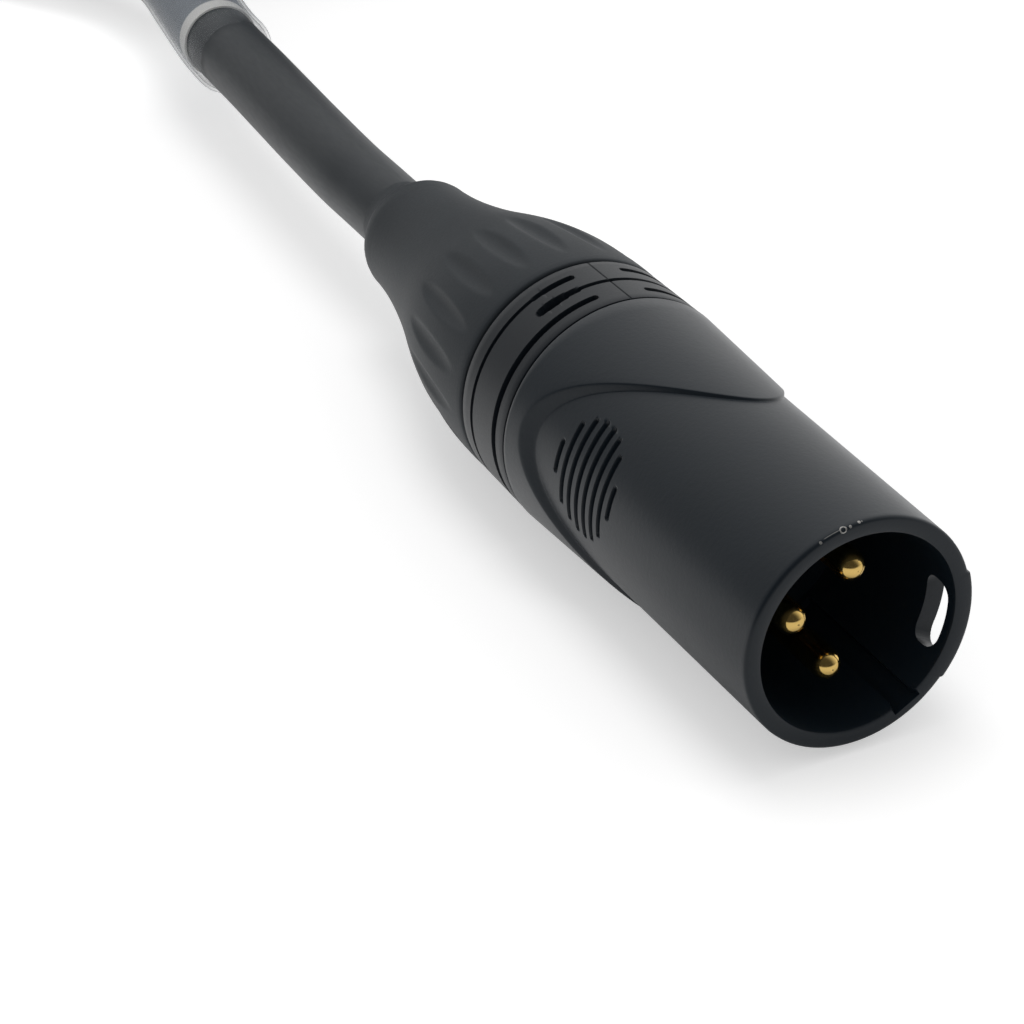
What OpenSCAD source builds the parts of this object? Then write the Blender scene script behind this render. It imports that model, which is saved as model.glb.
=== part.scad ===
// Three-pole audio lead: male plug, cable folded into a tied hank, female plug.
// Millimetres. The male plug lies along Y with its open end towards -Y, and the
// ground is z = 0. Each plug is drawn about its own Z axis, which runs from its
// mating face back to the cable, with its latch side towards its own +X.

/* [Barrel] */
// Inner radius of the open end of the male plug
cavity_r = 8.15; // [8.05:0.05:8.3]
// Wall of the open end
barrel_wall = 1.35; // [1.2:0.05:1.6]
// Depth of the open end, down to the pin carrier
cavity_depth = 15; // [13:0.5:16]
// Length from the mating face to the split ring
barrel_len = 35.1; // [34:0.1:38]
// Rise of the grip relief over the barrel where it meets the split ring
relief_rise = 0.8; // [0.6:0.05:1.1]
// Thickness of the split ring, from the relief down to the neck that carries it
ring_wall = 1.6; // [1.5:0.05:1.8]
// Wall of that neck, round the bore that the back end is loaded through
neck_wall = 1.3; // [1.1:0.05:1.5]

/* [Relief] */
// Distance from the mating face to the tips of the relief
relief_front = 18.4; // [18:0.1:22]
// Distance from the mating face to the back of its two bays
relief_bay = 31.6; // [29:0.1:32.5]
// Angle by which the bays and grips sit off the latch side
relief_turn = 4; // [0:1:10]
// Centre of each thumb grip from the mating face
grip_z = 24.3; // [22.5:0.1:25.5]
// Number of grooves in each thumb grip
grip_grooves = 8; // [4:2:8]
// Depth of each grip groove
grip_depth = 0.4; // [0.2:0.05:0.5]

/* [Latch window and key] */
// Depth of the window's front edge behind the rim
window_front = 0.95; // [0.8:0.05:1.5]
// Size of the window along the plug
window_len = 2.55; // [2.3:0.05:3]
// Angle that the window spans
window_arc = 38.5; // [34:0.5:42]
// Angle of the keyway from the latch side
key_turn = 47; // [40:1:55]
// Width of the keyway
key_w = 1.8; // [1.4:0.1:2]
// Depth of the keyway
key_deep = 0.6; // [0.4:0.05:0.7]

/* [Contacts] */
// Radius of a contact pin
pin_r = 1.18; // [1.1:0.02:1.2]
// Radius of the circle that the contacts stand on
contact_pcr = 4.05; // [3.9:0.05:4.2]
// Depth of the pin tips behind the rim
pin_recess = 1.9; // [1:0.1:3]
// Outer radius of a contact socket
socket_r = 1.7; // [1.6:0.05:1.8]

/* [Female nose] */
// Play between the nose and the open end of a male plug
nose_play = 0.25; // [0.2:0.05:0.35]
// Wall of the nose
nose_wall = 0.8; // [0.7:0.05:0.9]
// Length of the nose
nose_len = 14.6; // [12.6:0.1:14.8]

/* [Latch] */
// Width of the latch lever
latch_w = 5.6; // [5:0.1:6.4]
// Distance from the shoulder to the latch pivot
latch_pivot_z = 16; // [15.5:0.1:16.6]
// Radius of the latch pivot pin
latch_pin_r = 0.6; // [0.5:0.05:0.7]

/* [Split ring and back end] */
// Length of the split ring
ring_len = 7.3; // [7:0.1:7.8]
// Length of the boot behind the split ring
boot_len = 30.6; // [29:0.1:32]
// Radius of the boot's end
boot_end_r = 5.35; // [5.1:0.05:5.6]
// Number of finger flutes round the boot
flutes = 18; // [12:1:20]
// Depth of each flute
flute_deep = 0.35; // [0.2:0.05:0.4]
// Play along the axis on each side of the split ring
ring_play = 0.1; // [0.05:0.05:0.2]
// Distance that the gland nut backs off the thread
nut_travel = 4; // [3:0.5:5]

/* [Cable] */
// Radius of the cable
cable_r = 3.3; // [3.1:0.05:3.35]
// Thickness of the clear sleeve
sleeve_t = 0.45; // [0.2:0.05:0.5]
// Thickness of the printed label under the sleeve
label_t = 0.2; // [0.1:0.05:0.3]

/* [Hank] */
// Straight length between the folds of the hank
hank_run = 86; // [80:1:90]
// Half width of the innermost fold, along the centre line
fold_r = 20; // [20:0.5:22]
// Step from one loop to the next
loop_step = 7.35; // [7.3:0.05:7.6]
// Height from one layer to the next
layer_step = 7.1; // [7.05:0.05:7.4]
// Width of the tie strap
strap_w = 14; // [10:1:15]
// Thickness of the tie strap
strap_t = 1.2; // [1:0.1:1.6]

/* [Hidden] */
$fn = 64;
e = 0.01;

// Colours
c_metal = [0.12, 0.12, 0.13];
c_rubber = [0.10, 0.10, 0.11];
c_gold = [0.85, 0.65, 0.25];
c_nylon = [0.08, 0.08, 0.08];

// Radii of both plugs
barrel_r = cavity_r + barrel_wall;
relief_r = barrel_r + relief_rise;
neck_r = relief_r - ring_wall;
rear_bore_r = neck_r - neck_wall;
nose_r = cavity_r - nose_play;
nose_bore_r = nose_r - nose_wall;

// Lengths along a plug
neck_len = ring_len + 2 * ring_play - 0.4;
boot_z = barrel_len + ring_len + 2 * ring_play;
plug_len = boot_z + boot_len;
insert_ledge = 1.4;
insert_back = cavity_depth + 9.5;
thread_z = barrel_len - 4;
thread_r = rear_bore_r + 0.35;
nut_clear = 0.1;
slide_clear = 0.08;
cable_clear = 0.06;
half_len = plug_len / 2;
axis_z = relief_r;
male_roll = 12;

// Angle of each contact from the latch side of the male plug
contact_turns = [-90, 90, 180];

// ---------------------------------------------------------------- placement

module as_male() {
    translate([0, -half_len, axis_z]) rotate([-90, 0, 0]) rotate([0, 0, male_roll]) children();
}

module as_female() {
    translate([female_x, female_y, female_z]) rotate([90, 0, 0]) rotate([0, 0, 90]) children();
}

// A solid of revolution that spans an angle and is centred on the latch side
module arc_revolve(span) {
    rotate([0, 0, -span / 2]) rotate_extrude(angle = span) children();
}

// A ring of revolution from radius r0 to r1 between heights z0 and z1
module ring(r0, r1, z0, z1) {
    translate([0, 0, z0]) difference() {
        cylinder(r = r1, h = z1 - z0);
        translate([0, 0, -1]) cylinder(r = r0, h = z1 - z0 + 2);
    }
}

// ------------------------------------------------------------------- relief

relief_mid = (relief_front + relief_bay) / 2;
relief_amp = (relief_bay - relief_front) / 2;
relief_full = 0.6;
relief_start = relief_front - 2;
relief_tip_r = barrel_r + 0.2;
relief_taper = (relief_r - relief_tip_r) / (barrel_len - relief_front);

// Front edge of the relief at angle a from the middle of a bay
function relief_edge(a) =
    relief_mid + relief_amp * cos(2 * a) + relief_full * (1 - cos(4 * a)) / 2;

// Radius of the relief at distance z from the mating face
function relief_radius(z) = relief_tip_r + relief_taper * (z - relief_front);

// What lies in front of the relief: a star-shaped solid with a wavy cone on its back
module relief_cutter() {
    n = 60;
    outer = relief_r + 2;
    low = relief_start - 8;
    apex = relief_start - 4;
    rim = [for (i = [0 : n - 1]) let (a = i * 360 / n, s = relief_edge(a))
        each [[outer * cos(a), outer * sin(a), low],
            [outer * cos(a), outer * sin(a), apex + (s - apex) * outer / barrel_r]]];
    faces = [for (i = [0 : n - 1]) let (p = 2 + 2 * i, q = 2 + 2 * ((i + 1) % n))
        each [[0, p, q], [1, q + 1, p + 1], [p, q + 1, q], [p, p + 1, q + 1]]];
    polyhedron(concat([[0, 0, low], [0, 0, apex]], rim), faces);
}

// The raised relief with its two bays
module relief() {
    difference() {
        rotate_extrude() polygon([[barrel_r - 0.5, relief_start],
            [relief_radius(relief_start), relief_start],
            [relief_radius(barrel_len - 0.25), barrel_len - 0.25],
            [relief_r - 0.25, barrel_len], [barrel_r - 0.5, barrel_len]]);
        rotate([0, 0, relief_turn]) relief_cutter();
    }
}

// Grooves of one thumb grip: short arcs that fill an oval
module grip() {
    pitch = 1.135;
    groove_w = 0.5;
    grip_len = 8.3;
    grip_high = 9.6;
    for (i = [0 : grip_grooves - 1]) {
        off = (i - (grip_grooves - 1) / 2) * pitch;
        arc = grip_high * sqrt(1 - pow(2 * off / grip_len, 2));
        span = arc / barrel_r * 180 / PI;
        arc_revolve(span)
            translate([barrel_r - grip_depth, grip_z + off - groove_w / 2])
                square([grip_depth + 1, groove_w]);
    }
}

module grips() {
    for (side = [0, 180]) rotate([0, 0, side + relief_turn]) grip();
}

// ------------------------------------------------------------ male front end

window_round = 0.8;

module latch_window() {
    reach = barrel_r + 2;
    corner = window_round / cavity_r * 180 / PI;
    arc_revolve(window_arc)
        translate([cavity_r - 1, window_front + window_round])
            square([reach - cavity_r, window_len - 2 * window_round]);
    arc_revolve(window_arc - 2 * corner)
        translate([cavity_r - 1, window_front]) square([reach - cavity_r, window_len]);
    for (side = [-1, 1], z = [window_front + window_round, window_front + window_len - window_round])
        rotate([0, 0, side * (window_arc / 2 - corner)]) translate([cavity_r - 1, 0, z])
            rotate([0, 90, 0]) cylinder(r = window_round, h = reach - cavity_r, $fn = 24);
}

pad_arc = 54;
pad_proud = 0.32;
pad_len = 6;

module male_shell() {
    color(c_metal) as_male() difference() {
        union() {
            rotate_extrude() polygon([
                [cavity_r + 0.25, 0], [barrel_r - 0.15, 0], [barrel_r, 0.15],
                [barrel_r, barrel_len - 0.4], [neck_r, barrel_len - 0.4],
                [neck_r, barrel_len + neck_len],
                [thread_r, barrel_len + neck_len], [thread_r, thread_z],
                [rear_bore_r, thread_z], [rear_bore_r, cavity_depth + insert_ledge],
                [rear_bore_r - 0.6, cavity_depth + insert_ledge],
                [rear_bore_r - 0.6, cavity_depth],
                [cavity_r, cavity_depth], [cavity_r, 0.25]]);
            relief();
            arc_revolve(pad_arc) translate([barrel_r - 0.3, 0]) square([0.3 + pad_proud, pad_len]);
        }
        latch_window();
        rotate([0, 0, key_turn]) translate([cavity_r - 1, -key_w / 2, -1])
            cube([1 + key_deep, key_w, cavity_depth + 1 - 0.5]);
        rib_slot();
        grips();
    }
}

// Slot in the rear bore that the rib of the contact carrier slides down
rib_w = 1.4;
rib_deep = 0.45;

module rib_slot() {
    rotate([0, 0, 180]) translate([rear_bore_r - 0.5, -rib_w / 2, cavity_depth + insert_ledge])
        cube([0.5 + rib_deep, rib_w, thread_z + 6 - cavity_depth - insert_ledge]);
}

// Rib that runs in the slot, on the contact carrier or the chuck
module slot_rib(z0, z1) {
    rotate([0, 0, 180]) translate([rear_bore_r - 0.6, -rib_w / 2 + 0.05, z0])
        cube([0.5 + rib_deep, rib_w - 0.1, z1 - z0]);
}

module at_contact(turn) {
    rotate([0, 0, turn]) translate([contact_pcr, 0, 0]) children();
}

module male_insert() {
    z1 = cavity_depth + insert_ledge;
    color(c_nylon) as_male() difference() {
        union() {
            translate([0, 0, cavity_depth]) cylinder(r = rear_bore_r - 0.65, h = insert_ledge + e);
            translate([0, 0, z1]) cylinder(r = rear_bore_r - 0.05, h = insert_back - z1);
            slot_rib(z1, insert_back);
        }
        for (turn = contact_turns)
            at_contact(turn) translate([0, 0, cavity_depth - 1]) cylinder(r = cup_r, h = 30, $fn = 32);
    }
}

cup_r = 1.45;
cup_bore_r = 1.05;
cup_len = 4.1;

// Solder cup that opens outwards, from height z0 on
module solder_cup(z0) {
    difference() {
        translate([0, 0, z0]) cylinder(r = cup_r, h = cup_len, $fn = 32);
        translate([0, 0, z0 + 1]) cylinder(r = cup_bore_r, h = cup_len, $fn = 32);
        translate([0, -cup_r - 1, z0 + 1.9]) cube([cup_r + 1, 2 * cup_r + 2, cup_len]);
    }
}

// A pin with a round tip, whose thick foot fills its hole in the contact carrier
module contact_pin(turn) {
    color(c_gold) as_male() at_contact(turn) union() {
        translate([0, 0, pin_recess + pin_r]) sphere(r = pin_r, $fn = 32);
        translate([0, 0, pin_recess + pin_r])
            cylinder(r = pin_r, h = cavity_depth - pin_recess - pin_r + e, $fn = 32);
        translate([0, 0, cavity_depth]) cylinder(r = cup_r, h = insert_back - cavity_depth + e, $fn = 32);
        solder_cup(insert_back);
    }
}

// --------------------------------------------------------- wires and cable end

wire_r = 0.65;
wire_start = insert_back + cup_len - 1.6;
jacket_z = insert_back + cup_len + 5.4;

// One core of the cable, from its solder cup to the end of the jacket
module wire(turn) {
    far = 1.6;
    near = contact_pcr + 0.3;
    drop = jacket_z - wire_start;
    lean = atan2(near - far, drop);
    rotate([0, 0, turn]) intersection() {
        translate([near, 0, wire_start]) rotate([0, -lean, 0])
            translate([0, 0, -1]) cylinder(r = wire_r, h = drop + 4, $fn = 24);
        translate([-5, -5, wire_start]) cube([20, 10, drop]);
    }
}

module cable_end() {
    translate([0, 0, jacket_z]) cylinder(r = cable_r, h = plug_len - jacket_z);
}

// ------------------------------------------------------------------ split ring

ring_r0 = relief_r - 0.04;
ring_r1 = relief_r - 0.22;
slot_bridge = 23.5;
ring_part = -96.5;

// A ring split at one place, with two rows of slots and a marker groove on each side
module split_ring() {
    z0 = barrel_len + ring_play;
    row = [1.55, 5.4];
    difference() {
        rotate_extrude() polygon([[neck_r, z0], [ring_r0 - 0.15, z0], [ring_r0, z0 + 0.15],
            [ring_r1, z0 + ring_len - 0.15], [ring_r1 - 0.15, z0 + ring_len],
            [neck_r, z0 + ring_len]]);
        for (half = [0, 180]) rotate([0, 0, ring_part + half]) {
            for (z = row) ring_slot(neck_r - 0.5, z0 + z, 0.55, 90, 180 - slot_bridge);
            ring_slot(ring_r1 - 0.7, z0 + 3.5, 0.3, 4, 80);
            ring_slot(ring_r1 - 0.85, z0 + 3.5, 0.95, -31.5, 11);
        }
        rotate([0, 0, ring_part]) translate([neck_r - 1, -0.06, z0 - 1]) cube([5, 0.12, ring_len + 2]);
    }
}

// A slot in the ring down to radius r, at height z and centred on angle a
module ring_slot(r, z, w, a, span) {
    rotate([0, 0, a]) arc_revolve(span)
        translate([r, z - w / 2]) square([relief_r + 1 - r, w]);
}

// -------------------------------------------------------- gland nut and boot

nut_r = relief_r - 1.3;
nut_len = 19;
nut_mouth_r = 4.3;
nut_tail_r = 5.6;
spigot_len = 9;

module gland_nut() {
    z1 = boot_z + nut_len;
    rotate_extrude() polygon([
        [rear_bore_r - 1.05, boot_z - spigot_len], [thread_r - nut_clear, boot_z - spigot_len],
        [thread_r - nut_clear, boot_z], [nut_r, boot_z], [nut_r, boot_z + 3],
        [nut_tail_r, z1], [nut_mouth_r, z1], [rear_bore_r - 1.05, boot_z + 5]]);
}

bulge_z = 1.4;
bulge_r = 38;
taper_z = 15.4;
boot_top_r = relief_r - 0.22;

// Radius of the boot's bulge at distance z behind the split ring
function bulge(z) = boot_top_r - bulge_r + sqrt(pow(bulge_r, 2) - pow(z - bulge_z, 2));

// Radius of the slim part of the boot, a gentle hollow curve down to its end
function taper(z) =
    let (u = (z - taper_z) / (boot_len - 5 - taper_z))
    boot_end_r + (bulge(taper_z) - boot_end_r) * (pow(1 - u, 1.45));

boot_profile = concat(
    [[boot_top_r - 0.2, 0], [boot_top_r, 0.25]],
    [for (z = [bulge_z : 2 : taper_z]) [bulge(z), z]],
    [for (i = [1 : 4]) let (z = taper_z + i * (boot_len - 5 - taper_z) / 4) [taper(z), z]],
    [for (a = [15 : 15 : 75])
        [boot_end_r - 1.85 * (1 - cos(a)), boot_len - 5 + 5 * sin(a)]],
    [[cable_r + 0.12, boot_len]]);

// A long shallow dimple cut by a large ring that only grazes the boot
module flute() {
    sweep_r = 30;
    tool_r = 1.6;
    z = boot_z + 7.9;
    slope = 8;
    translate([bulge(7.9) + tool_r - flute_deep, 0, z]) rotate([0, -slope, 0])
        translate([sweep_r, 0, 0]) rotate([90, 0, 0]) rotate([0, 0, 155])
            rotate_extrude(angle = 50) translate([sweep_r, 0]) circle(r = tool_r, $fn = 32);
}

module boot() {
    z1 = boot_z + nut_len;
    difference() {
        rotate_extrude() polygon([for (p = boot_profile) [p[0], p[1] + boot_z],
            [cable_r + 0.12, z1], [nut_tail_r, z1], [nut_r, boot_z + 3], [nut_r, boot_z]]);
        for (i = [0 : flutes - 1]) rotate([0, 0, i * 360 / flutes]) flute();
    }
}

// Strain relief chuck: a keyed collar with four sprung jaws round the cable
chuck_z = insert_back + 2.3;
jaw_end = boot_z + nut_len - 1.2;

module chuck() {
    nut_bore_r = rear_bore_r - 1.05;
    body_r = nut_bore_r - slide_clear;
    flange_r = rear_bore_r - slide_clear;
    flange_end = boot_z - spigot_len - 0.4;
    tip_r = nut_mouth_r + slide_clear;
    difference() {
        union() {
            rotate_extrude() polygon([
                [body_r - 0.9, chuck_z], [flange_r, chuck_z], [flange_r, flange_end],
                [body_r, flange_end], [body_r, boot_z + 4.4], [tip_r, jaw_end],
                [cable_r + cable_clear, jaw_end], [cable_r + cable_clear, jaw_end - 9],
                [body_r - 0.9, jaw_end - 14]]);
            slot_rib(chuck_z, flange_end);
        }
        for (a = [45 : 90 : 315]) rotate([0, 0, a])
            translate([1, -0.4, jaw_end - 12]) cube([8, 0.8, 13]);
    }
}

// ---------------------------------------------------------- female front end

slot_w = latch_w + 0.6;
slot_back = latch_pivot_z + 1.9;
tooth_front = -window_front - window_len + 0.35;
tooth_back = -window_front - 0.3;

module female_shell() {
    color(c_metal) as_female() difference() {
        union() {
            rotate_extrude() polygon([
                [nose_bore_r, -nose_len], [nose_r - 0.3, -nose_len], [nose_r, 0.3 - nose_len],
                [nose_r, 0], [barrel_r - 0.15, 0], [barrel_r, 0.15],
                [barrel_r, barrel_len - 0.4], [neck_r, barrel_len - 0.4],
                [neck_r, barrel_len + neck_len],
                [thread_r, barrel_len + neck_len], [thread_r, thread_z],
                [rear_bore_r, thread_z], [rear_bore_r, cavity_depth + 4],
                [nose_bore_r, cavity_depth + 4]]);
            relief();
            rotate([0, 0, -key_turn]) translate([nose_r - 0.4, -key_w / 2 + 0.15, 0.5 - nose_len])
                cube([cavity_r - nose_r + key_deep + 0.25, key_w - 0.3, nose_len]);
        }
        translate([nose_bore_r - 2, -slot_w / 2, tooth_front - 1.2])
            cube([6, slot_w, slot_back - tooth_front + 1.2]);
        translate([latch_x, 0, latch_pivot_z]) rotate([90, 0, 0])
            cylinder(r = latch_pin_r, h = 2 * latch_pin_half, center = true, $fn = 32);
        rib_slot();
        grips();
    }
}

latch_x = barrel_r - 1.5;
latch_pin_half = 4.2;
pocket_x = 5;

module female_insert() {
    z0 = 0.4 - nose_len;
    back = insert_back;
    color(c_nylon) as_female() difference() {
        union() {
            translate([0, 0, z0]) cylinder(r = nose_bore_r, h = cavity_depth + 4 - z0 + e);
            translate([0, 0, cavity_depth + 4])
                cylinder(r = rear_bore_r - 0.05, h = back - cavity_depth - 4);
            slot_rib(cavity_depth + 4, back);
        }
        for (turn = contact_turns) at_contact(-turn) {
            translate([0, 0, z0 - 1]) cylinder(r = pin_r + 0.12, h = 5, $fn = 32);
            translate([0, 0, z0 + 1]) cylinder(r = socket_r, h = 60, $fn = 32);
        }
        translate([pocket_x, -slot_w / 2, tooth_front - 1.2])
            cube([6, slot_w, slot_back - tooth_front + 1.2]);
    }
}

socket_bore_r = pin_r + 0.02;

module contact_socket(turn) {
    z0 = 1.4 - nose_len;
    bore_len = 13;
    color(c_gold) as_female() at_contact(-turn) union() {
        difference() {
            translate([0, 0, z0]) cylinder(r = socket_r, h = insert_back - z0, $fn = 32);
            translate([0, 0, z0 - 1]) cylinder(r = socket_bore_r, h = bore_len + 1, $fn = 32);
        }
        solder_cup(insert_back);
    }
}

// Latch lever: tooth in front, push pad over the slot, hub round its pivot pin
module female_latch() {
    lever_t = 1.3;
    top = barrel_r - 0.15;
    low = nose_bore_r - 0.35;
    color(c_metal) as_female() difference() {
        union() {
            translate([0, latch_w / 2, 0]) rotate([90, 0, 0]) linear_extrude(latch_w) polygon([
                [low, tooth_front - 0.9], [nose_r - 0.1, tooth_front - 0.9],
                [nose_r - 0.1, tooth_front], [cavity_r + 0.85, tooth_back - 0.5],
                [cavity_r + 0.85, tooth_back], [nose_r - 0.1, tooth_back],
                [nose_r - 0.1, 0.25], [top - 0.1, 0.25], [top + 0.45, 1.2], [top + 0.45, 10.8],
                [top, 11.6], [top, latch_pivot_z], [low + lever_t, latch_pivot_z],
                [low, 11]]);
            translate([latch_x, 0, latch_pivot_z]) rotate([90, 0, 0])
                cylinder(r = 1.3, h = latch_w, center = true, $fn = 32);
        }
        translate([latch_x, 0, latch_pivot_z]) rotate([90, 0, 0])
            cylinder(r = latch_pin_r + 0.04, h = latch_w + 2, center = true, $fn = 32);
    }
}

module female_latch_pin() {
    color("silver") as_female() translate([latch_x, 0, latch_pivot_z]) rotate([90, 0, 0])
        cylinder(r = latch_pin_r, h = 2 * latch_pin_half, center = true, $fn = 32);
}

// Bent leaf spring between the floor of the pocket and the lever
module female_latch_spring() {
    low = nose_bore_r - 0.35;
    t = 0.2;
    color("silver") as_female() translate([0, 1.6, 0]) rotate([90, 0, 0]) linear_extrude(3.2)
        polygon([[pocket_x, 9], [pocket_x, 1.5], [low - t, 6.5], [low, 6.9], [low - t, 7.3],
            [low - 2 * t, 6.9], [pocket_x + t, 2.2], [pocket_x + t, 9]]);
}

// --------------------------------------------------------------------- cable

// A smooth curve through points p, with n steps in each span
function spline(p, n) =
    let (m = len(p) - 1)
    [for (i = [0 : m - 1]) let (a = p[max(i - 1, 0)], b = p[i], c = p[i + 1], d = p[min(i + 2, m)])
        for (k = [0 : n - 1]) let (u = k / n)
            0.5 * (2 * b + u * (c - a) + u * u * (2 * a - 5 * b + 4 * c - d)
                + u * u * u * (3 * b - a - 3 * c + d)), p[m]];

function unit(v) = v / norm(v);

// Direction of a path at its point i, and exactly its last span at either end
function heading(p, i) =
    i == 0 ? unit(p[1] - p[0])
    : i == len(p) - 1 ? unit(p[i] - p[i - 1])
    : unit(unit(p[i + 1] - p[i]) + unit(p[i] - p[i - 1]));

// Rings of n points round a path, with one corner of each ring straight down
function tube_points(p, r, n) =
    [for (i = [0 : len(p) - 1])
        let (t = heading(p, i), side = unit(cross(t, [0, 0, 1])), up = cross(side, t))
            for (k = [0 : n - 1]) let (a = k * 360 / n - 90) p[i] + r * (cos(a) * side + sin(a) * up)];

// Triangles between successive rings of n points, from ring number 0 to m
function skin(m, n, first = 0) =
    [for (i = [0 : m - 1], k = [0 : n - 1])
        let (a = first + i * n + k, b = first + i * n + (k + 1) % n)
            each [[a, b + n, b], [a, a + n, b + n]]];

function flipped(faces) = [for (f = faces) [f[2], f[1], f[0]]];

// A solid tube along a path
module tube(p, r, n) {
    m = len(p) - 1;
    polyhedron(tube_points(p, r, n), concat(skin(m, n),
        [[for (k = [0 : n - 1]) k], [for (k = [n - 1 : -1 : 0]) m * n + k]]));
}

// A hollow tube round a path, from its ring i0 to its ring i1
module pipe(p, i0, i1, r0, r1, n) {
    m = i1 - i0;
    q = (m + 1) * n;
    ends = [for (k = [0 : n - 1]) let (j = (k + 1) % n)
        each [[k, j, q + j], [k, q + j, q + k],
            [m * n + j, m * n + k, q + m * n + j], [m * n + k, q + m * n + k, q + m * n + j]]];
    outer = tube_points(p, r1, n);
    inner = tube_points(p, r0, n);
    range = [i0 * n : i1 * n + n - 1];
    polyhedron(concat([for (i = range) outer[i]], [for (i = range) inner[i]]),
        concat(skin(m, n), flipped(skin(m, n, q)), ends));
}

function length_of(p) = len(p) < 2 ? 0 : norm_sum(p, len(p) - 1);
function norm_sum(p, i, sum = 0) = i == 0 ? sum : norm_sum(p, i - 1, sum + norm(p[i] - p[i - 1]));

// Distance from point q to the span from a to b
function to_span(q, a, b) =
    let (u = max(0, min(1, (q - a) * (b - a) / ((b - a) * (b - a)))))
    norm(q - a - u * (b - a));

// ---------------------------------------------------------------------- hank

hank_x = 28;
hank_near = 104.2;
layer_turns = 2;
turns = 7.75;
rings = 24;
fold_out = fold_r + layer_turns * loop_step;
near_y = hank_near + fold_out + cable_r;
waist_y = near_y + hank_run / 2;
waist_pull = 11.5;
waist_lift = strap_t + 0.1;
hank_top = 2 * cable_r + 3 * layer_step;
reverse_at = 1 / 8;
stub = 7;

// Half width of a fold at turn t: the loops spiral in, out, in and out again
function fold_at(t) =
    let (u = t - reverse_at, k = max(floor(u / layer_turns), 0), v = u - k * layer_turns)
    fold_out - loop_step * (k % 2 == 0 ? v : layer_turns - v);

// How far a run has come to the waist at y, from 0 to 1, and how steeply it goes there
function waist_at(y) = (1 + cos(360 * (y - waist_y) / hank_run)) / 2;
function waist_slope(y) = waist_pull * PI / hank_run * sin(360 * (y - waist_y) / hank_run);

// Distance of a run from the middle of the hank, for the loop of half width w
function run_at(w, y) =
    fold_r - waist_pull * waist_at(y) + (w - fold_r) * sqrt(1 + pow(waist_slope(y), 2));

// Height of turn t: each climb takes the run in which the spiral reverses
function climb(u) = (1 - cos(180 * max(0, min(1, u)))) / 2;
function height_at(t) =
    cable_r + layer_step * (climb((t - 2) * 4) + climb((t - 4) * 4) + climb((t - 6) * 4)
        + climb((t - turns + 0.1) * 10));

// Centre line of the hank at turn t: a run away, a fold, a run back and a fold
function hank_point(t) =
    let (f = (t - floor(t)) * 4, q = floor(f), u = f - q, w = fold_at(t), z = height_at(t))
    q == 0 ? let (y = near_y + u * hank_run) [hank_x - run_at(w, y), y, z + waist_at(y) * waist_lift]
    : q == 2 ? let (y = near_y + (1 - u) * hank_run)
        [hank_x + run_at(w, y), y, z + waist_at(y) * waist_lift]
    : q == 1 ? [hank_x - w * cos(180 * u), near_y + hank_run + w * sin(180 * u), z]
    : [hank_x + w * cos(180 * u), near_y - w * sin(180 * u), z];

hank_start = [hank_x - fold_at(0), near_y, cable_r];
hank_last = [hank_x + fold_at(turns), near_y, height_at(turns)];
hank_path = concat([hank_start - [0, stub, 0]],
    [for (i = [0 : turns * rings - 1]) hank_point(i / rings)],
    [hank_last, hank_last - [0, stub, 0]]);

module cable_hank() {
    color(c_rubber) tube(hank_path, cable_r, 6);
}

// Least distance between the centre lines of parts of the hank that are not neighbours
function least_gap(p, skip) =
    min([for (i = [0 : len(p) - 1], j = [0 : len(p) - 2])
        if (abs(i - j) > skip && abs(i - j - 1) > skip) to_span(p[i], p[j], p[j + 1])])
    - 2 * cable_r;

// ------------------------------------------------------------- lead and tail

exit_y = half_len;
lead_points = [[0, exit_y, axis_z], [0, exit_y + 5, axis_z], [0, exit_y + 10, axis_z],
    [0.45, 54.9, 10.15], [1, 62.3, 9.95], [1.5, 68.9, 9.75], [1.8, 73.8, 9.6], [2.1, 77.6, 9.5],
    [2.75, 81.9, 9.35], [3.7, 87.5, 9.2], [4.8, 94.2, 9], [5, 99.2, 8.6], [4.4, 103.9, 8],
    [3, 108.1, 7.3], [0.8, 112, 6.5], [-1.9, 115.9, 5.7], [-5, 121.1, 4.6], [-6.9, 127, 3.7],
    hank_start - [0, stub + 3, 0], hank_start - [0, stub, 0]];
lead_steps = 2;
lead_path = [for (p = spline(lead_points, lead_steps)) [p[0], p[1], max(p[2], cable_r)]];

// Rings of the lead at which the clear sleeve and the label under it start and end
sleeve_rings = [6 * lead_steps, 12 * lead_steps];
label_rings = [7 * lead_steps, 11 * lead_steps];

female_x = hank_x - 8;
female_z = hank_top + relief_r - 0.2;
female_back = 138.6;
female_y = female_back + plug_len;
tail_mid = (hank_last[0] + female_x) / 2;
tail_r = (hank_last[0] - female_x) / 2;
tail_y = near_y - stub - 2;
tail_points = concat([hank_last - [0, stub, 0]],
    [for (a = [0 : 20 : 180]) [tail_mid + tail_r * cos(a), tail_y - tail_r * sin(a),
        hank_last[2] + (female_z - hank_last[2]) * climb((a - 60) / 120)]],
    [[female_x, female_back - 4.4, female_z], [female_x, female_back, female_z]]);

module cable_lead() { color(c_rubber) tube(lead_path, cable_r, 12); }
module cable_tail() { color(c_rubber) tube(tail_points, cable_r, 12); }
module label_print() {
    color([0.5, 0.55, 0.62])
        pipe(lead_path, label_rings[0], label_rings[1], cable_r, cable_r + label_t, 12);
}
module label_sleeve() {
    color([0.8, 0.85, 0.9, 0.4]) pipe(lead_path, sleeve_rings[0], sleeve_rings[1],
        cable_r + label_t, cable_r + label_t + sleeve_t, 12);
}

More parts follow.
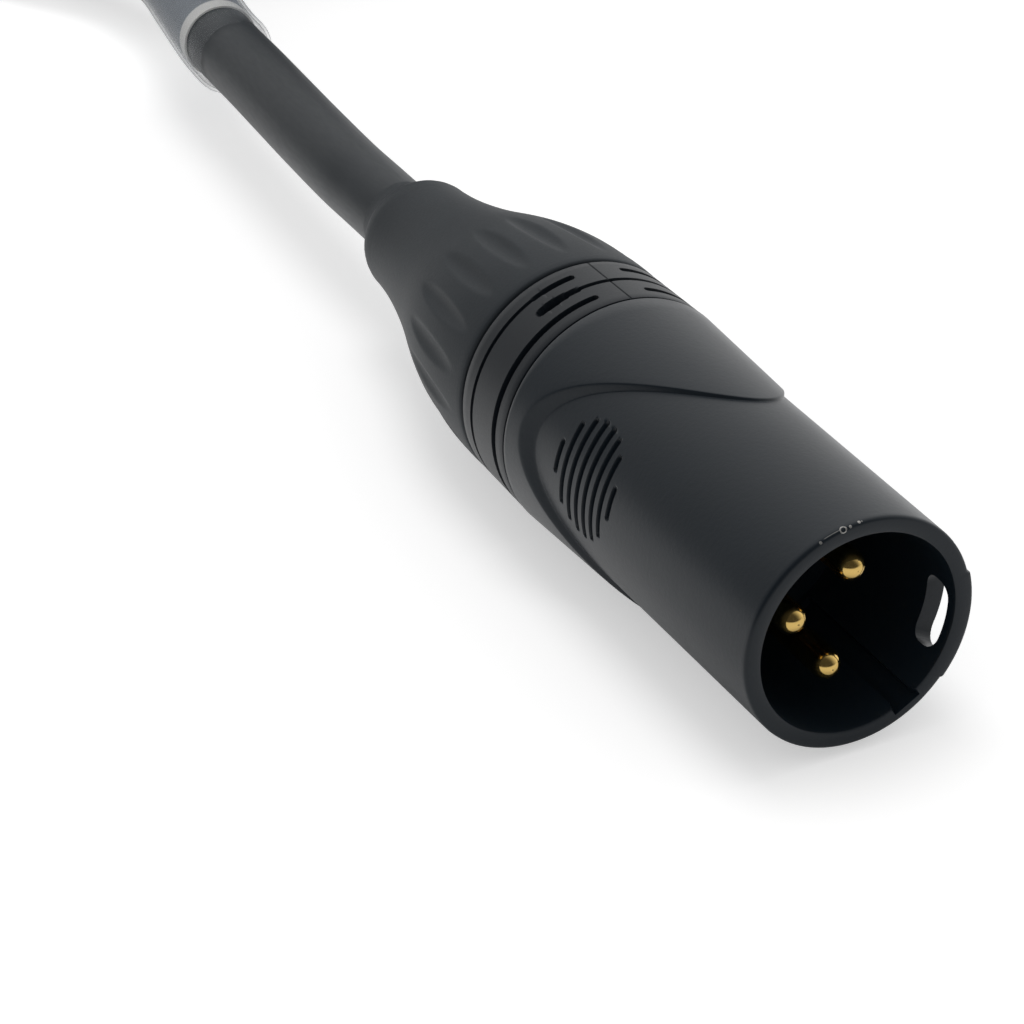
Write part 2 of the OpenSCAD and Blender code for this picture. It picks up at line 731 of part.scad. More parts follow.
// Tie strap: a band round the waist of the hank and the female plug that lies on it
module tie_strap() {
    side = strap_w / 2;
    half = run_at(fold_out, waist_y + side) + cable_r + 0.35;
    top = hank_top + waist_lift + 0.15;
    barrel = relief_radius(female_y - waist_y + side) + 0.15;
    color([0.16, 0.16, 0.17]) translate([0, waist_y + side, 0]) rotate([90, 0, 0])
        linear_extrude(strap_w) {
            difference() {
                strap_outline(half + strap_t, 0, top + strap_t, 5, barrel + strap_t);
                strap_outline(half, strap_t, top, 5 - strap_t, barrel);
            }
            translate([hank_x + half + strap_t - e, 7]) square([strap_t, top - 12]);
        }
}

// Outline of a box half wide with round corners, hulled with the plug's barrel
module strap_outline(half, z0, z1, r, barrel) {
    hull() {
        for (x = [hank_x + r - half, hank_x + half - r], z = [z0 + r, z1 - r])
            translate([x, z]) circle(r = r, $fn = 24);
        translate([female_x, female_z]) circle(r = barrel, $fn = 32);
    }
}

// -------------------------------------------------------------------- pieces

module pin_1() { contact_pin(contact_turns[0]); }
module pin_2() { contact_pin(contact_turns[1]); }
module pin_3() { contact_pin(contact_turns[2]); }
module male_wire_screen() { color("peru") as_male() wire(contact_turns[0]); }
module male_wire_hot() { color("firebrick") as_male() wire(contact_turns[1]); }
module male_wire_cold() { color("white") as_male() wire(contact_turns[2]); }
module male_split_ring() { color(c_nylon) as_male() split_ring(); }
module male_chuck() { color("dimgray") as_male() chuck(); }
module male_gland_nut() { color(c_nylon) as_male() gland_nut(); }
module male_boot() { color(c_rubber) as_male() boot(); }
module male_cable_end() { color(c_rubber) as_male() cable_end(); }

module socket_1() { contact_socket(contact_turns[0]); }
module socket_2() { contact_socket(contact_turns[1]); }
module socket_3() { contact_socket(contact_turns[2]); }
module female_wire_screen() { color("peru") as_female() wire(-contact_turns[0]); }
module female_wire_hot() { color("firebrick") as_female() wire(-contact_turns[1]); }
module female_wire_cold() { color("white") as_female() wire(-contact_turns[2]); }
module female_split_ring() { color(c_nylon) as_female() split_ring(); }
module female_chuck() { color("dimgray") as_female() chuck(); }
module female_gland_nut() { color(c_nylon) as_female() gland_nut(); }
module female_boot() { color(c_rubber) as_female() boot(); }
module female_cable_end() { color(c_rubber) as_female() cable_end(); }

echo(str("hank: ", length_of(hank_path), " mm long, least gap ", least_gap(hank_path, 6),  // cable_hank
        " mm; lead ", length_of(lead_path), " mm; tail ", length_of(tail_points), " mm"));

male_shell();
male_insert();
pin_1();
pin_2();
pin_3();
male_wire_hot();
male_wire_cold();
male_wire_screen();
male_split_ring();
male_chuck();
male_gland_nut();
male_boot();
male_cable_end();
cable_lead();
label_print();
label_sleeve();
cable_hank();
tie_strap();
cable_tail();
female_cable_end();
female_shell();
female_insert();
socket_1();
socket_2();
socket_3();
female_wire_hot();
female_wire_cold();
female_wire_screen();
female_latch();
female_latch_pin();
female_latch_spring();
female_split_ring();
female_chuck();
female_gland_nut();
female_boot();
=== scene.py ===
"""Three-pole audio lead: a male plug, a labelled cable, its tied hank and a female plug.

The file is laid out as a Blender add-on and is run as a script. Settings are in
metres. Pieces are shaped in millimetres about their own axis and then put in place.
"""
import math
from contextlib import contextmanager

import bpy
import numpy as np
from mathutils import Matrix, Vector


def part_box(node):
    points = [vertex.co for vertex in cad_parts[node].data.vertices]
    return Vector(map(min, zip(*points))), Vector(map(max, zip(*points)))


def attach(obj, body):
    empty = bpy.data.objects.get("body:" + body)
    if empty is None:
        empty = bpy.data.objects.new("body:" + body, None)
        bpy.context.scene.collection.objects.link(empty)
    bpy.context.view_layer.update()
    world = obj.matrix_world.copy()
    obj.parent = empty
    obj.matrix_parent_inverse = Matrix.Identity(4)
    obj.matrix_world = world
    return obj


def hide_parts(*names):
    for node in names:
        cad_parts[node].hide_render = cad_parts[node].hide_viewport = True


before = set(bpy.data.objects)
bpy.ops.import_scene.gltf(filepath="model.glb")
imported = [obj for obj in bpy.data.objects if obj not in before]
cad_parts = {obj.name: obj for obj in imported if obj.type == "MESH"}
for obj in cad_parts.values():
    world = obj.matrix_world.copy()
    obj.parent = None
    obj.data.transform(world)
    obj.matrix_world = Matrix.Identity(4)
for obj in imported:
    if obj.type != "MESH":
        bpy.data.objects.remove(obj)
bpy.context.view_layer.update()

bl_info = {
    "name": "Audio Lead Maker",
    "version": (1, 0, 0),
    "blender": (4, 5, 0),
    "location": "3D View > Sidebar > Audio Lead",
    "description": "Builds the visible pieces of a three-pole audio lead",
    "category": "Add Mesh",
}

MM = 0.001
TURN = 2 * math.pi


def middle(node):
    low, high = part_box(node)
    return (low + high) / 2


def wide(node, axis):
    low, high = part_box(node)
    return high[axis] - low[axis]


# ------------------------------------------------------------------- settings

class PlugSettings(bpy.types.PropertyGroup):
    """Sizes that both plugs share"""
    barrel_radius: bpy.props.FloatProperty(
        name="Barrel radius", description="Outer radius of both barrels",
        default=0.0095, min=0.009, max=0.0102, unit="LENGTH", precision=5)
    wall: bpy.props.FloatProperty(
        name="Rim wall", description="Wall of the male plug's open end",
        default=0.00135, min=0.001, max=0.0018, unit="LENGTH", precision=5)
    relief_rise: bpy.props.FloatProperty(
        name="Relief rise", description="Height of the grip relief at the split ring",
        default=0.0008, min=0.0004, max=0.0012, unit="LENGTH", precision=5)
    tip_rise: bpy.props.FloatProperty(
        name="Tip rise", description="Height of the grip relief at its two front tips",
        default=0.0002, min=0.0001, max=0.0004, unit="LENGTH", precision=5)
    groove_depth: bpy.props.FloatProperty(
        name="Groove depth", description="Depth of the grooves in each thumb grip",
        default=0.0004, min=0.0001, max=0.0006, unit="LENGTH", precision=5)
    grooves: bpy.props.IntProperty(
        name="Grooves", description="Number of grooves in each thumb grip",
        default=8, min=2, max=8)
    flutes: bpy.props.IntProperty(
        name="Flutes", description="Number of finger flutes round each boot",
        default=18, min=8, max=24)
    flute_depth: bpy.props.FloatProperty(
        name="Flute depth", description="Depth of each finger flute",
        default=0.00035, min=0.0001, max=0.0006, unit="LENGTH", precision=5)


class CableSettings(bpy.types.PropertyGroup):
    """Sizes of the cable and what it carries"""
    radius: bpy.props.FloatProperty(
        name="Cable radius", description="Radius of the cable's jacket",
        default=round(wide("male_cable_end", 0) / 2, 5), unit="LENGTH", precision=5)
    label: bpy.props.FloatProperty(
        name="Label thickness", description="Thickness of the printed label",
        default=0.0002, min=0.0001, max=0.0004, unit="LENGTH", precision=5)
    sleeve: bpy.props.FloatProperty(
        name="Sleeve thickness", description="Thickness of the clear sleeve",
        default=0.00045, min=0.0001, max=0.0006, unit="LENGTH", precision=5)
    strap_width: bpy.props.FloatProperty(
        name="Strap width", description="Width of the tie strap",
        default=round(wide("tie_strap", 1), 4), unit="LENGTH", precision=4)
    strap_thickness: bpy.props.FloatProperty(
        name="Strap thickness", description="Thickness of the tie strap",
        default=0.0012, min=0.0006, max=0.0016, unit="LENGTH", precision=5)


class FinishSettings(bpy.types.PropertyGroup):
    """Colours of the finishes"""
    lacquer: bpy.props.FloatVectorProperty(
        name="Lacquer", description="Black lacquer on both plugs' castings",
        default=(0.0060, 0.0105, 0.0155), subtype="COLOR")
    nylon: bpy.props.FloatVectorProperty(
        name="Nylon", description="Black nylon of the rings and contact carriers",
        default=(0.0048, 0.0080, 0.0120), subtype="COLOR")
    boot: bpy.props.FloatVectorProperty(
        name="Boot", description="Soft rubber of the boots",
        default=(0.0155, 0.0205, 0.0255), subtype="COLOR")
    jacket: bpy.props.FloatVectorProperty(
        name="Jacket", description="Cable jacket",
        default=(0.0115, 0.0160, 0.0205), subtype="COLOR")
    gold: bpy.props.FloatVectorProperty(
        name="Gold", description="Gold plate on the contacts",
        default=(0.95, 0.65, 0.21), subtype="COLOR")
    label: bpy.props.FloatVectorProperty(
        name="Label", description="Printed panel of the label",
        default=(0.155, 0.175, 0.200), subtype="COLOR")
    strap: bpy.props.FloatVectorProperty(
        name="Strap", description="Hook and loop tape",
        default=(0.025, 0.025, 0.028), subtype="COLOR")


class StageSettings(bpy.types.PropertyGroup):
    """Camera, lamp and floor"""
    lens: bpy.props.FloatProperty(
        name="Lens", description="Focal length on a 36 mm sensor",
        default=144.98, unit="CAMERA")
    camera_place: bpy.props.FloatVectorProperty(
        name="Camera place", description="Where the camera stands",
        default=(-0.13810, -0.24302, 0.17144), subtype="TRANSLATION", unit="LENGTH", precision=5)
    camera_turn: bpy.props.FloatVectorProperty(
        name="Camera turn", description="How the camera is turned",
        default=(math.radians(58.59), 0.0, math.radians(-28.04)), subtype="EULER", unit="ROTATION")
    surround: bpy.props.FloatProperty(
        name="Surround", description="Strength of the white surround on matt surfaces",
        default=0.60, min=0.0, max=2.0)
    mirrored: bpy.props.FloatProperty(
        name="Mirrored surround", description="Strength of the white surround in reflections",
        default=1.00, min=0.0, max=2.0)
    mirrored_front: bpy.props.FloatProperty(
        name="Mirrored front", description="Strength of the surround's near side in reflections",
        default=0.05, min=0.0, max=2.0)
    glow: bpy.props.FloatProperty(
        name="Floor whiteness", description="Light that the camera adds to the floor",
        default=0.45, min=0.0, max=1.0)
    key: bpy.props.FloatProperty(
        name="Key lamp", description="Power of the large lamp overhead",
        default=0.6, min=0.0, unit="POWER")


# -------------------------------------------------------------- shader helpers

class Value:
    """A shader socket that takes part in sums; a sum adds its Math nodes."""

    def __init__(self, nodes, socket):
        self.nodes = nodes
        self.socket = socket

    def math(self, operation, other=None, swap=False):
        pair = [self] if other is None else [other, self] if swap else [self, other]
        return self.nodes.value("Math", 0, {"operation": operation}, dict(enumerate(pair)))

    def __add__(self, other): return self.math("ADD", other)
    def __radd__(self, other): return self.math("ADD", other, swap=True)
    def __sub__(self, other): return self.math("SUBTRACT", other)
    def __rsub__(self, other): return self.math("SUBTRACT", other, swap=True)
    def __mul__(self, other): return self.math("MULTIPLY", other)
    def __rmul__(self, other): return self.math("MULTIPLY", other, swap=True)
    def __truediv__(self, other): return self.math("DIVIDE", other)
    def __rtruediv__(self, other): return self.math("DIVIDE", other, swap=True)
    def __abs__(self): return self.math("ABSOLUTE")

    def step(self, low, high):
        """0 below low, 1 above high and smooth between them."""
        return self.nodes.value("MapRange", "Result", {"interpolation_type": "SMOOTHSTEP"},
                                {"Value": self, "From Min": low, "From Max": high})

    def band(self, start, end, soft):
        """1 between start and end, with soft sides inside them, and 0 beyond."""
        return self.step(start, start + soft) * (1.0 - self.step(end - soft, end))


class Nodes:
    """The nodes of a material or of the world."""

    def __init__(self, owner):
        owner.use_nodes = True
        self.owner = owner
        self.tree = owner.node_tree
        self.tree.nodes.clear()

    def node(self, kind, settings=None, sockets=None):
        """Adds a node, sets its settings, then its sockets to values or links."""
        node = self.tree.nodes.new("ShaderNode" + kind)
        for name, value in (settings or {}).items():
            setattr(node, name, value)
        for name, value in (sockets or {}).items():
            if isinstance(value, Value):
                value = value.socket
            if isinstance(value, bpy.types.NodeSocket):
                self.tree.links.new(value, node.inputs[name])
            else:
                node.inputs[name].default_value = value
        return node

    def value(self, kind, output, settings=None, sockets=None):
        """Adds a node and gives one of its outputs for sums."""
        return Value(self, self.node(kind, settings, sockets).outputs[output])

    def show(self, surface, output="OutputMaterial"):
        """Links a surface to the output, and gives the material or world."""
        self.node(output, None, {"Surface": surface.outputs[0]})
        return self.owner


class Shader(Nodes):
    """One material and the nodes that make its finish."""

    def __init__(self, name):
        if name in bpy.data.materials:
            raise RuntimeError(f"the finish {name} is already made")
        super().__init__(bpy.data.materials.new(name))
        self.place = self.node("TexCoord").outputs["Object"]

    def uv(self):
        """The piece's own map, in metres along it and across or round it."""
        return self.node("UVMap").outputs["UV"]

    def noise(self, scale, detail=2.0, roughness=0.5, where=None):
        return self.value("TexNoise", "Fac", None, {
            "Vector": where or self.place, "Scale": scale, "Detail": detail,
            "Roughness": roughness})

    def bands(self, sockets):
        """Diagonal bands, for threads and strands."""
        return self.value("TexWave", "Fac", {"wave_type": "BANDS", "bands_direction": "DIAGONAL"},
                          sockets)

    def distance(self, point):
        """Distance of the surface from a point, in metres."""
        return self.value("VectorMath", "Value", {"operation": "DISTANCE"},
                          {0: self.place, 1: point})

    def part(self, axis, where=None):
        """One coordinate of the surface, in metres."""
        return self.value("SeparateXYZ", axis, None, {0: where or self.place})

    def mix(self, amount, first, second):
        """A colour between two colours."""
        first, second = ((*c, 1.0) if isinstance(c, tuple) else c for c in (first, second))
        node = self.node("Mix", {"data_type": "RGBA"}, {0: amount, 6: first, 7: second})
        return node.outputs[2]

    def tints(self, amount, colour, low, high):
        """A colour between two tints of itself, given as shares of its brightness."""
        darker, lighter = (tuple(min(1.0, c * share) for c in colour) for share in (low, high))
        return self.mix(amount, darker, lighter)

    def bump(self, height, strength, distance):
        return self.node("Bump", None, {"Height": height, "Strength": strength,
                                        "Distance": distance}).outputs["Normal"]

    def surface(self, **sockets):
        """Adds the surface with its sockets, and gives the finished material."""
        names = {name.replace("_", " "): value for name, value in sockets.items()}
        return self.show(self.node("BsdfPrincipled", None, names))


# --------------------------------------------------------------------- finishes

# Radius of the rim's worn outer edge, in mm
RIM_EDGE_R = 9.4
# Chips in the lacquer by the male rim: angle from the right in degrees, distance behind
# the rim in mm, size in mm, and whether a flake of lacquer is left in the middle
SCUFFS = ((112.5, 0.1, 0.12, False), (100.8, 0.1, 0.3, True), (99.4, 0.0, 0.1, False),
          (97.2, 0.1, 0.12, False), (92.6, 0.2, 0.14, False), (91.2, 0.2, 0.09, False))
# The painted highlight: a bright hairline of bare metal along the rim's rounded edge, where that
# edge catches the light: first and last angle, and distance behind the rim in mm
HIGHLIGHT_TURNS = (101.0, 111.0)
HIGHLIGHT_BEHIND = 0.16
# Colour of bare metal, used for the scuffs and for the painted highlight along the rim's edge
BARE_METAL_AND_HIGHLIGHT = (0.44, 0.43, 0.41)
LABEL_BORDER = (0.56, 0.56, 0.55)
# Width of the label's border and of the strap's selvedges, in metres
LABEL_MARGIN = 0.0014
SELVEDGE = 0.0019


def scuffs_and_highlight_mask(s):
    """Where the lacquer is worn off the male plug's rim, and a painted highlight line along the
    rim's edge.
    """
    rim = plug_place("male").translation
    breakup = s.noise(5200.0, 3.0, 0.6)
    rim_marks = None
    for degrees, behind, size, flake in SCUFFS:
        turn = math.radians(degrees)
        point = (rim.x + RIM_EDGE_R * MM * math.cos(turn), rim.y + behind * MM,
                 rim.z + RIM_EDGE_R * MM * math.sin(turn))
        near = s.distance(point) / (size * MM)
        spot = 1.0 - near.step(0.8, 1.25)
        if flake:
            spot = spot * near.step(0.4, 0.75)
        rim_marks = spot if rim_marks is None else rim_marks.math("MAXIMUM", spot)
    rim_marks = (rim_marks * (0.2 + 1.6 * breakup)).step(0.62, 0.86)
    # A painted highlight: a hairline of bare metal along the rim's edge that stands for the light
    # caught by the rounded edge
    turn = (s.part("Z") - rim.z).math("ARCTAN2", s.part("X") - rim.x)
    depth = s.part("Y") - (rim.y + HIGHLIGHT_BEHIND * MM)
    painted_highlight = turn.band(*np.radians(HIGHLIGHT_TURNS), 0.03) * (
        1.0 - abs(depth).step(0.00001, 0.00004))
    return rim_marks.math("MAXIMUM", painted_highlight * (0.15 + 0.5 * breakup))


def lacquer_finish(name, colour, scuffed=False):
    """Black lacquer with a faint peel and grain; where it is scuffed, worn to bare metal in spots
    at the rim and given a painted highlight line along the rim's edge.
    """
    s = Shader(name)
    peel = s.noise(2600.0, 2.0, 0.55)
    cloud = s.noise(160.0, 3.0)
    grain = s.noise(9000.0, 2.0, 0.6)
    base = s.tints(cloud, colour, 0.88, 1.12)
    rough = 0.29 + 0.06 * cloud + 0.05 * peel
    metal = 0.0
    if scuffed:
        # Bare metal in the scuffs, and the painted highlight line along the rim's edge
        rim_marks = scuffs_and_highlight_mask(s)
        base = s.mix(rim_marks, base, BARE_METAL_AND_HIGHLIGHT)
        rough = rough + 0.05 * rim_marks
        metal = 0.85 * rim_marks
    return s.surface(Base_Color=base, Roughness=rough, Metallic=metal, IOR=1.43,
                     Normal=s.bump(0.7 * peel + 0.3 * grain, 0.22, 0.00006))


def moulded_finish(name, colour, rough, grain_scale, strength):
    """Fine matt texture of a moulded piece."""
    s = Shader(name)
    grain = s.noise(grain_scale, 3.0, 0.6)
    return s.surface(Base_Color=s.tints(s.noise(140.0, 3.0), colour, 0.85, 1.15),
                     Roughness=rough - 0.06 + 0.12 * grain, IOR=1.45,
                     Normal=s.bump(grain, strength, 0.00005))


def gold_finish(colour):
    """Gold plate, a little cloudy."""
    s = Shader("gold_plate")
    cloud = s.noise(900.0, 3.0)
    return s.surface(Base_Color=s.tints(cloud, colour, 0.92, 1.05),
                     Roughness=0.10 + 0.08 * cloud, Metallic=1.0,
                     Normal=s.bump(s.noise(4200.0), 0.06, 0.00004))


def steel_finish(colour, rough):
    """Sprung sheet steel."""
    s = Shader("sprung_steel")
    cloud = s.noise(1500.0, 3.0, 0.55)
    return s.surface(Base_Color=s.tints(cloud, colour, 0.85, 1.08),
                     Roughness=rough + 0.12 * cloud, Metallic=1.0,
                     Normal=s.bump(cloud, 0.12, 0.00004))


def jacket_finish(colour):
    """Matt cable jacket with a faint drawn texture along its length."""
    s = Shader("drawn_jacket")
    along = s.node("Mapping", None, {"Vector": s.uv(), "Scale": (0.25, 1.0, 1.0)})
    drawn = s.noise(2600.0, where=along.outputs["Vector"])
    return s.surface(Base_Color=s.tints(s.noise(90.0, 3.0), colour, 0.88, 1.14),
                     Roughness=0.36 + 0.12 * drawn, IOR=1.5,
                     Normal=s.bump(drawn, 0.15, 0.00006))


def label_finish(colour, length, around):
    """Printed film: a plain panel with a pale border all round."""
    s = Shader("printed_film")
    uv = s.uv()
    inside = (s.part("X", uv).band(LABEL_MARGIN, length - LABEL_MARGIN, 0.0003)
              * s.part("Y", uv).band(LABEL_MARGIN, around - LABEL_MARGIN, 0.0003))
    cloud = s.noise(420.0, 3.0)
    panel = s.tints(cloud, colour, 0.85, 1.2)
    return s.surface(Base_Color=s.mix(inside, LABEL_BORDER, panel), Roughness=0.45 + 0.1 * cloud,
                     Normal=s.bump(inside, 0.2, 0.00003))


def sleeve_finish(length):
    """Clear heat-shrink: milky where it is seen edge on and at its cut ends."""
    s = Shader("shrink_film")
    facing = s.value("LayerWeight", "Facing", None, {"Blend": 0.5})
    ends = 1.0 - s.part("X", s.uv()).band(0.0006, length - 0.0006, 0.001)
    haze = s.noise(700.0, 3.0)
    edge_on = facing * facing
    milky = 0.01 + 0.02 * haze + 0.85 * edge_on * edge_on * edge_on + 0.02 * ends
    return s.surface(Base_Color=s.mix(haze, (0.26, 0.28, 0.30), (0.34, 0.36, 0.38)),
                     Roughness=0.2 + 0.12 * haze, Alpha=milky.math("MINIMUM", 0.85), IOR=1.45,
                     Normal=s.bump(s.noise(500.0), 0.12, 0.0001))


def strap_finish(colour, width):
    """Hook and loop tape: fine fuzz between two woven selvedges."""
    s = Shader("hook_tape")
    uv = s.uv()
    fuzz = s.noise(3600.0, 4.0, 0.7, uv)
    weave = s.bands({"Vector": uv, "Scale": 420.0, "Distortion": 0.6, "Detail": 1.0,
                     "Detail Scale": 2.0})
    selvedge = abs(s.part("Y", uv)).step(width / 2 - SELVEDGE, width / 2 - SELVEDGE + 0.0003)
    height = selvedge * weave + (1.0 - selvedge) * fuzz
    return s.surface(Base_Color=s.tints(height, colour, 0.55, 1.5), Roughness=0.78 + 0.12 * fuzz,
                     Sheen_Weight=0.25, Sheen_Roughness=0.4, Normal=s.bump(height, 0.65, 0.0003))


def strand_finish(colour):
    """Bare copper strands laid in a slow twist."""
    s = Shader("copper_strands")
    wave = s.bands({"Vector": s.place, "Scale": 900.0, "Distortion": 0.4})
    return s.surface(Base_Color=s.tints(wave, colour, 0.55, 1.0), Roughness=0.28, Metallic=1.0,
                     Normal=s.bump(wave, 0.5, 0.0001))


# --------------------------------------------------------------- making helpers

def deselect():
    if bpy.context.object is not None and bpy.context.object.mode != "OBJECT":
        bpy.ops.object.mode_set(mode="OBJECT")
    bpy.ops.object.select_all(action="DESELECT")


def take(piece):
    deselect()
    piece.select_set(True)
    bpy.context.view_layer.objects.active = piece
    return piece


@contextmanager
def editing(piece):
    """Edit mode on one piece, with all of it selected."""
    take(piece)
    bpy.ops.object.mode_set(mode="EDIT")
    bpy.ops.mesh.select_all(action="SELECT")
    yield
    bpy.ops.object.mode_set(mode="OBJECT")


def outlined(name, corners, fill="NOTHING"):
    """A loop of edges through the corners: a circle whose points are put there."""
    deselect()
    bpy.ops.mesh.primitive_circle_add(vertices=len(corners), radius=1.0, fill_type=fill)
    piece = bpy.context.object
    piece.name = piece.data.name = name
    piece.data.vertices.foreach_set("co", np.asarray(corners, np.float32).ravel())
    piece.data.update()
    return piece


def turned(name, outline, steps):
    """Spins a closed outline of (radius, height) corners about the Z axis."""
    piece = outlined(name, [(r, 0.0, z) for r, z in outline])
    with editing(piece):
        bpy.ops.mesh.spin(steps=steps, angle=TURN, center=(0, 0, 0), axis=(0, 0, 1),
                          use_auto_merge=True)
        bpy.ops.mesh.select_all(action="SELECT")
        bpy.ops.mesh.remove_doubles(threshold=0.0005)
        bpy.ops.mesh.normals_make_consistent(inside=False)
    return piece


def prism(name, outline, low, high, widen=1.0):
    """A closed prism on a flat outline; widen scales the far end across."""
    piece = outlined(name, [(x, y, low) for x, y in outline], "NGON")
    with editing(piece):
        bpy.ops.mesh.extrude_region_move(TRANSFORM_OT_translate={"value": (0, 0, high - low)})
        bpy.ops.transform.resize(value=(widen, 1, 1), center_override=(0, 0, high))
        bpy.ops.mesh.select_all(action="SELECT")
        bpy.ops.mesh.normals_make_consistent(inside=False)
    return piece


def block(name, low, high, turn=0.0):
    """A box between two corners, turned about the Z axis."""
    low, high = Vector(low), Vector(high)
    deselect()
    bpy.ops.mesh.primitive_cube_add(size=1.0, location=(low + high) / 2, scale=high - low)
    bpy.ops.object.transform_apply(location=True, rotation=True, scale=True)
    piece = bpy.context.object
    piece.name = piece.data.name = name
    piece.data.transform(Matrix.Rotation(turn, 4, "Z"))
    return piece


def carve(piece, cutters, operation="DIFFERENCE"):
    """Cuts the cutters out of the piece, or joins them to it, and removes them."""
    for cutter in cutters:
        take(piece)
        carving = piece.modifiers.new("carve", "BOOLEAN")
        carving.operation = operation
        carving.solver = "EXACT"
        carving.object = cutter
        bpy.ops.object.modifier_apply(modifier=carving.name)
        bpy.data.objects.remove(cutter)


def reshape(piece, move):
    """Moves every corner at once: move takes and gives arrays of their radius, turn and
    height about the Z axis."""
    corners = piece.data.vertices
    places = np.empty(len(corners) * 3, np.float32)
    corners.foreach_get("co", places)
    x, y, z = places.reshape(-1, 3).astype(float).T
    turn = np.arctan2(y, x)
    r, turn, z = move(np.hypot(x, y), turn, z)
    places = np.stack([r * np.cos(turn), r * np.sin(turn), z], 1)
    corners.foreach_set("co", places.astype(np.float32).ravel())
    piece.data.update()


def finish_of(name):
    if name not in bpy.data.materials:
        raise RuntimeError(f"the finish {name} isn't made yet")
    return bpy.data.materials[name]


def settle(piece, finish, nodes, smooth, body="lead", place=Matrix.Identity(4)):
    """Puts a finished piece in place, dresses it and lets it ride on its body."""
    piece.data.transform(place @ Matrix.Scale(MM, 4))
    take(piece)
    bpy.ops.object.shade_smooth_by_angle(angle=math.radians(smooth))
    dress(piece, finish)
    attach(piece, body)
    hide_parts(*nodes)


def dress(piece, finish):
    piece.data.materials.clear()
    piece.data.materials.append(finish_of(finish))


def settle_pair(piece, name, finish, node, smooth, body=None):
    """Puts a piece on the male plug and its copy on the female plug."""
    copy = piece.copy()
    copy.data = piece.data.copy()
    bpy.context.scene.collection.objects.link(copy)
    for kind, each in (("male", piece), ("female", copy)):
        each.name = f"{kind}_{name}"
        settle(each, finish, [f"{kind}_{node}"], smooth,
               f"{kind}_{body}" if body else "lead", plug_place(kind))


# ------------------------------------------------------------------- plug forms

# Heights along a plug from its rim, radii and other sizes, in mm
BARREL_LEN = 35.1
RELIEF_FRONT = 18.4
RELIEF_BAY = 31.6
RELIEF_APEX = 12.4
RELIEF_TURN = math.radians(4)
GRIP_MID = 24.3
GRIP_PITCH = 1.135
GRIP_LEN = 8.3
GRIP_HIGH = 9.6
GROOVE_W = 0.5
NOSE_LEN = 14.6
RING_LEN = 7.3
RING_WALL = 1.6
NECK_WALL = 1.3
RING_PLAY = 0.1
BOOT_FLOOR = BARREL_LEN + RING_LEN + 2 * RING_PLAY
BOOT_LEN = 30.6
BOOT_END = 5.25
CAVITY_DEPTH = 15.0
CASTING_STEPS = 400
KEY_TURN = math.radians(47)

# The latch window: height of its front, length, and angle that it spans
WINDOW_FRONT, WINDOW_LEN, WINDOW_ARC = 0.95, 2.75, math.radians(38.5)

# The slot for the chuck's key: depth in the bore, half width, and reach past the barrel
CHUCK_DEPTH, CHUCK_HALF, CHUCK_REACH = 0.45, 0.7, 2.5

# The pad behind the male rim: its rise, and where its sides and its back slope down
PAD_RISE, PAD_SIDE, PAD_BACK = 0.2, (math.radians(26.5), math.radians(27.4)), (5.9, 6.1)

# The rounded outer edge of a rim: distance from the barrel's radius, and height
RIM_EDGE = ((-0.3, 0.0), (-0.12, 0.05), (-0.03, 0.16), (0.0, 0.32))

# Rows of corners across the relief's edge: share of its width, and distance beyond it
EDGE_ROWS = ((0, -0.25), (0, -0.12), (0, -0.05), (0.02, -0.02), (0.08, 0), (0.2, 0), (0.4, 0),
             (0.6, 0), (0.8, 0), (0.92, 0), (0.98, 0.02), (1, 0.05), (1, 0.12), (1, 0.25))

# Length in front of the relief's edge over which the rows are squeezed together
SQUEEZE = 1.0

# Heights of the outer wall's last row and of the plain band behind it
LAST_ROW, FLAT_BACK = BARREL_LEN - 0.25, BARREL_LEN - 0.2

# Turns a piece made along the Z axis so that it points along X
SIDEWAYS = Matrix(((0, 0, 1, 0), (1, 0, 0, 0), (0, 1, 0, 0), (0, 0, 0, 1)))


def plug_place(kind):
    """Turns and moves a plug from its own axis, with its rim at 0, to where it lies."""
    centre = middle(f"{kind}_gland_nut")
    low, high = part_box(f"{kind}_shell")
    front, tilt, roll = (low.y, -90, 12) if kind == "male" else (high.y - NOSE_LEN * MM, 90, 90)
    return (Matrix.Translation((centre.x, front, centre.z))
            @ Matrix.Rotation(math.radians(tilt), 4, "X")
            @ Matrix.Rotation(math.radians(roll), 4, "Z"))


def smooth_step(x, low, high):
    t = np.clip((x - low) / (high - low), 0, 1)
    return t * t * (3 - 2 * t)


def soft_max(a, b, k):
    return 0.5 * (a + b + np.sqrt((a - b) ** 2 + k * k))


def soft_min(a, b, k):
    return 0.5 * (a + b - np.sqrt((a - b) ** 2 + k * k))


class Radii:
    """Radii along a plug, in millimetres, from the settings."""

    def __init__(self, plug):
        self.barrel = plug.barrel_radius / MM
        self.cavity = self.barrel - plug.wall / MM
        self.relief = self.barrel + plug.relief_rise / MM
        self.tip = self.barrel + plug.tip_rise / MM
        self.neck = self.relief - RING_WALL
        self.bore = self.neck - NECK_WALL
        self.thread = self.bore + 0.35
        self.nose = self.cavity - 0.25
        self.nose_bore = self.nose - 0.8
        self.boot = self.relief - 0.22
        self.taper = (self.relief - self.tip) / (BARREL_LEN - RELIEF_FRONT)

    def relief_at(self, z):
        return self.tip + self.taper * (z - RELIEF_FRONT)

    def edge_span(self, edge):
        """Where the relief's sloping face ends, for the front edge at height edge."""
        slope = self.barrel / (edge - RELIEF_APEX)
        return (self.tip - self.taper * RELIEF_FRONT + slope * RELIEF_APEX) / (slope - self.taper)

    def edge_rows(self):
        """Heights of the rows across the relief's edge, at the middle of a bay."""
        width = self.edge_span(RELIEF_BAY) - RELIEF_BAY
        return [RELIEF_BAY + width * share + beyond for share, beyond in EDGE_ROWS]


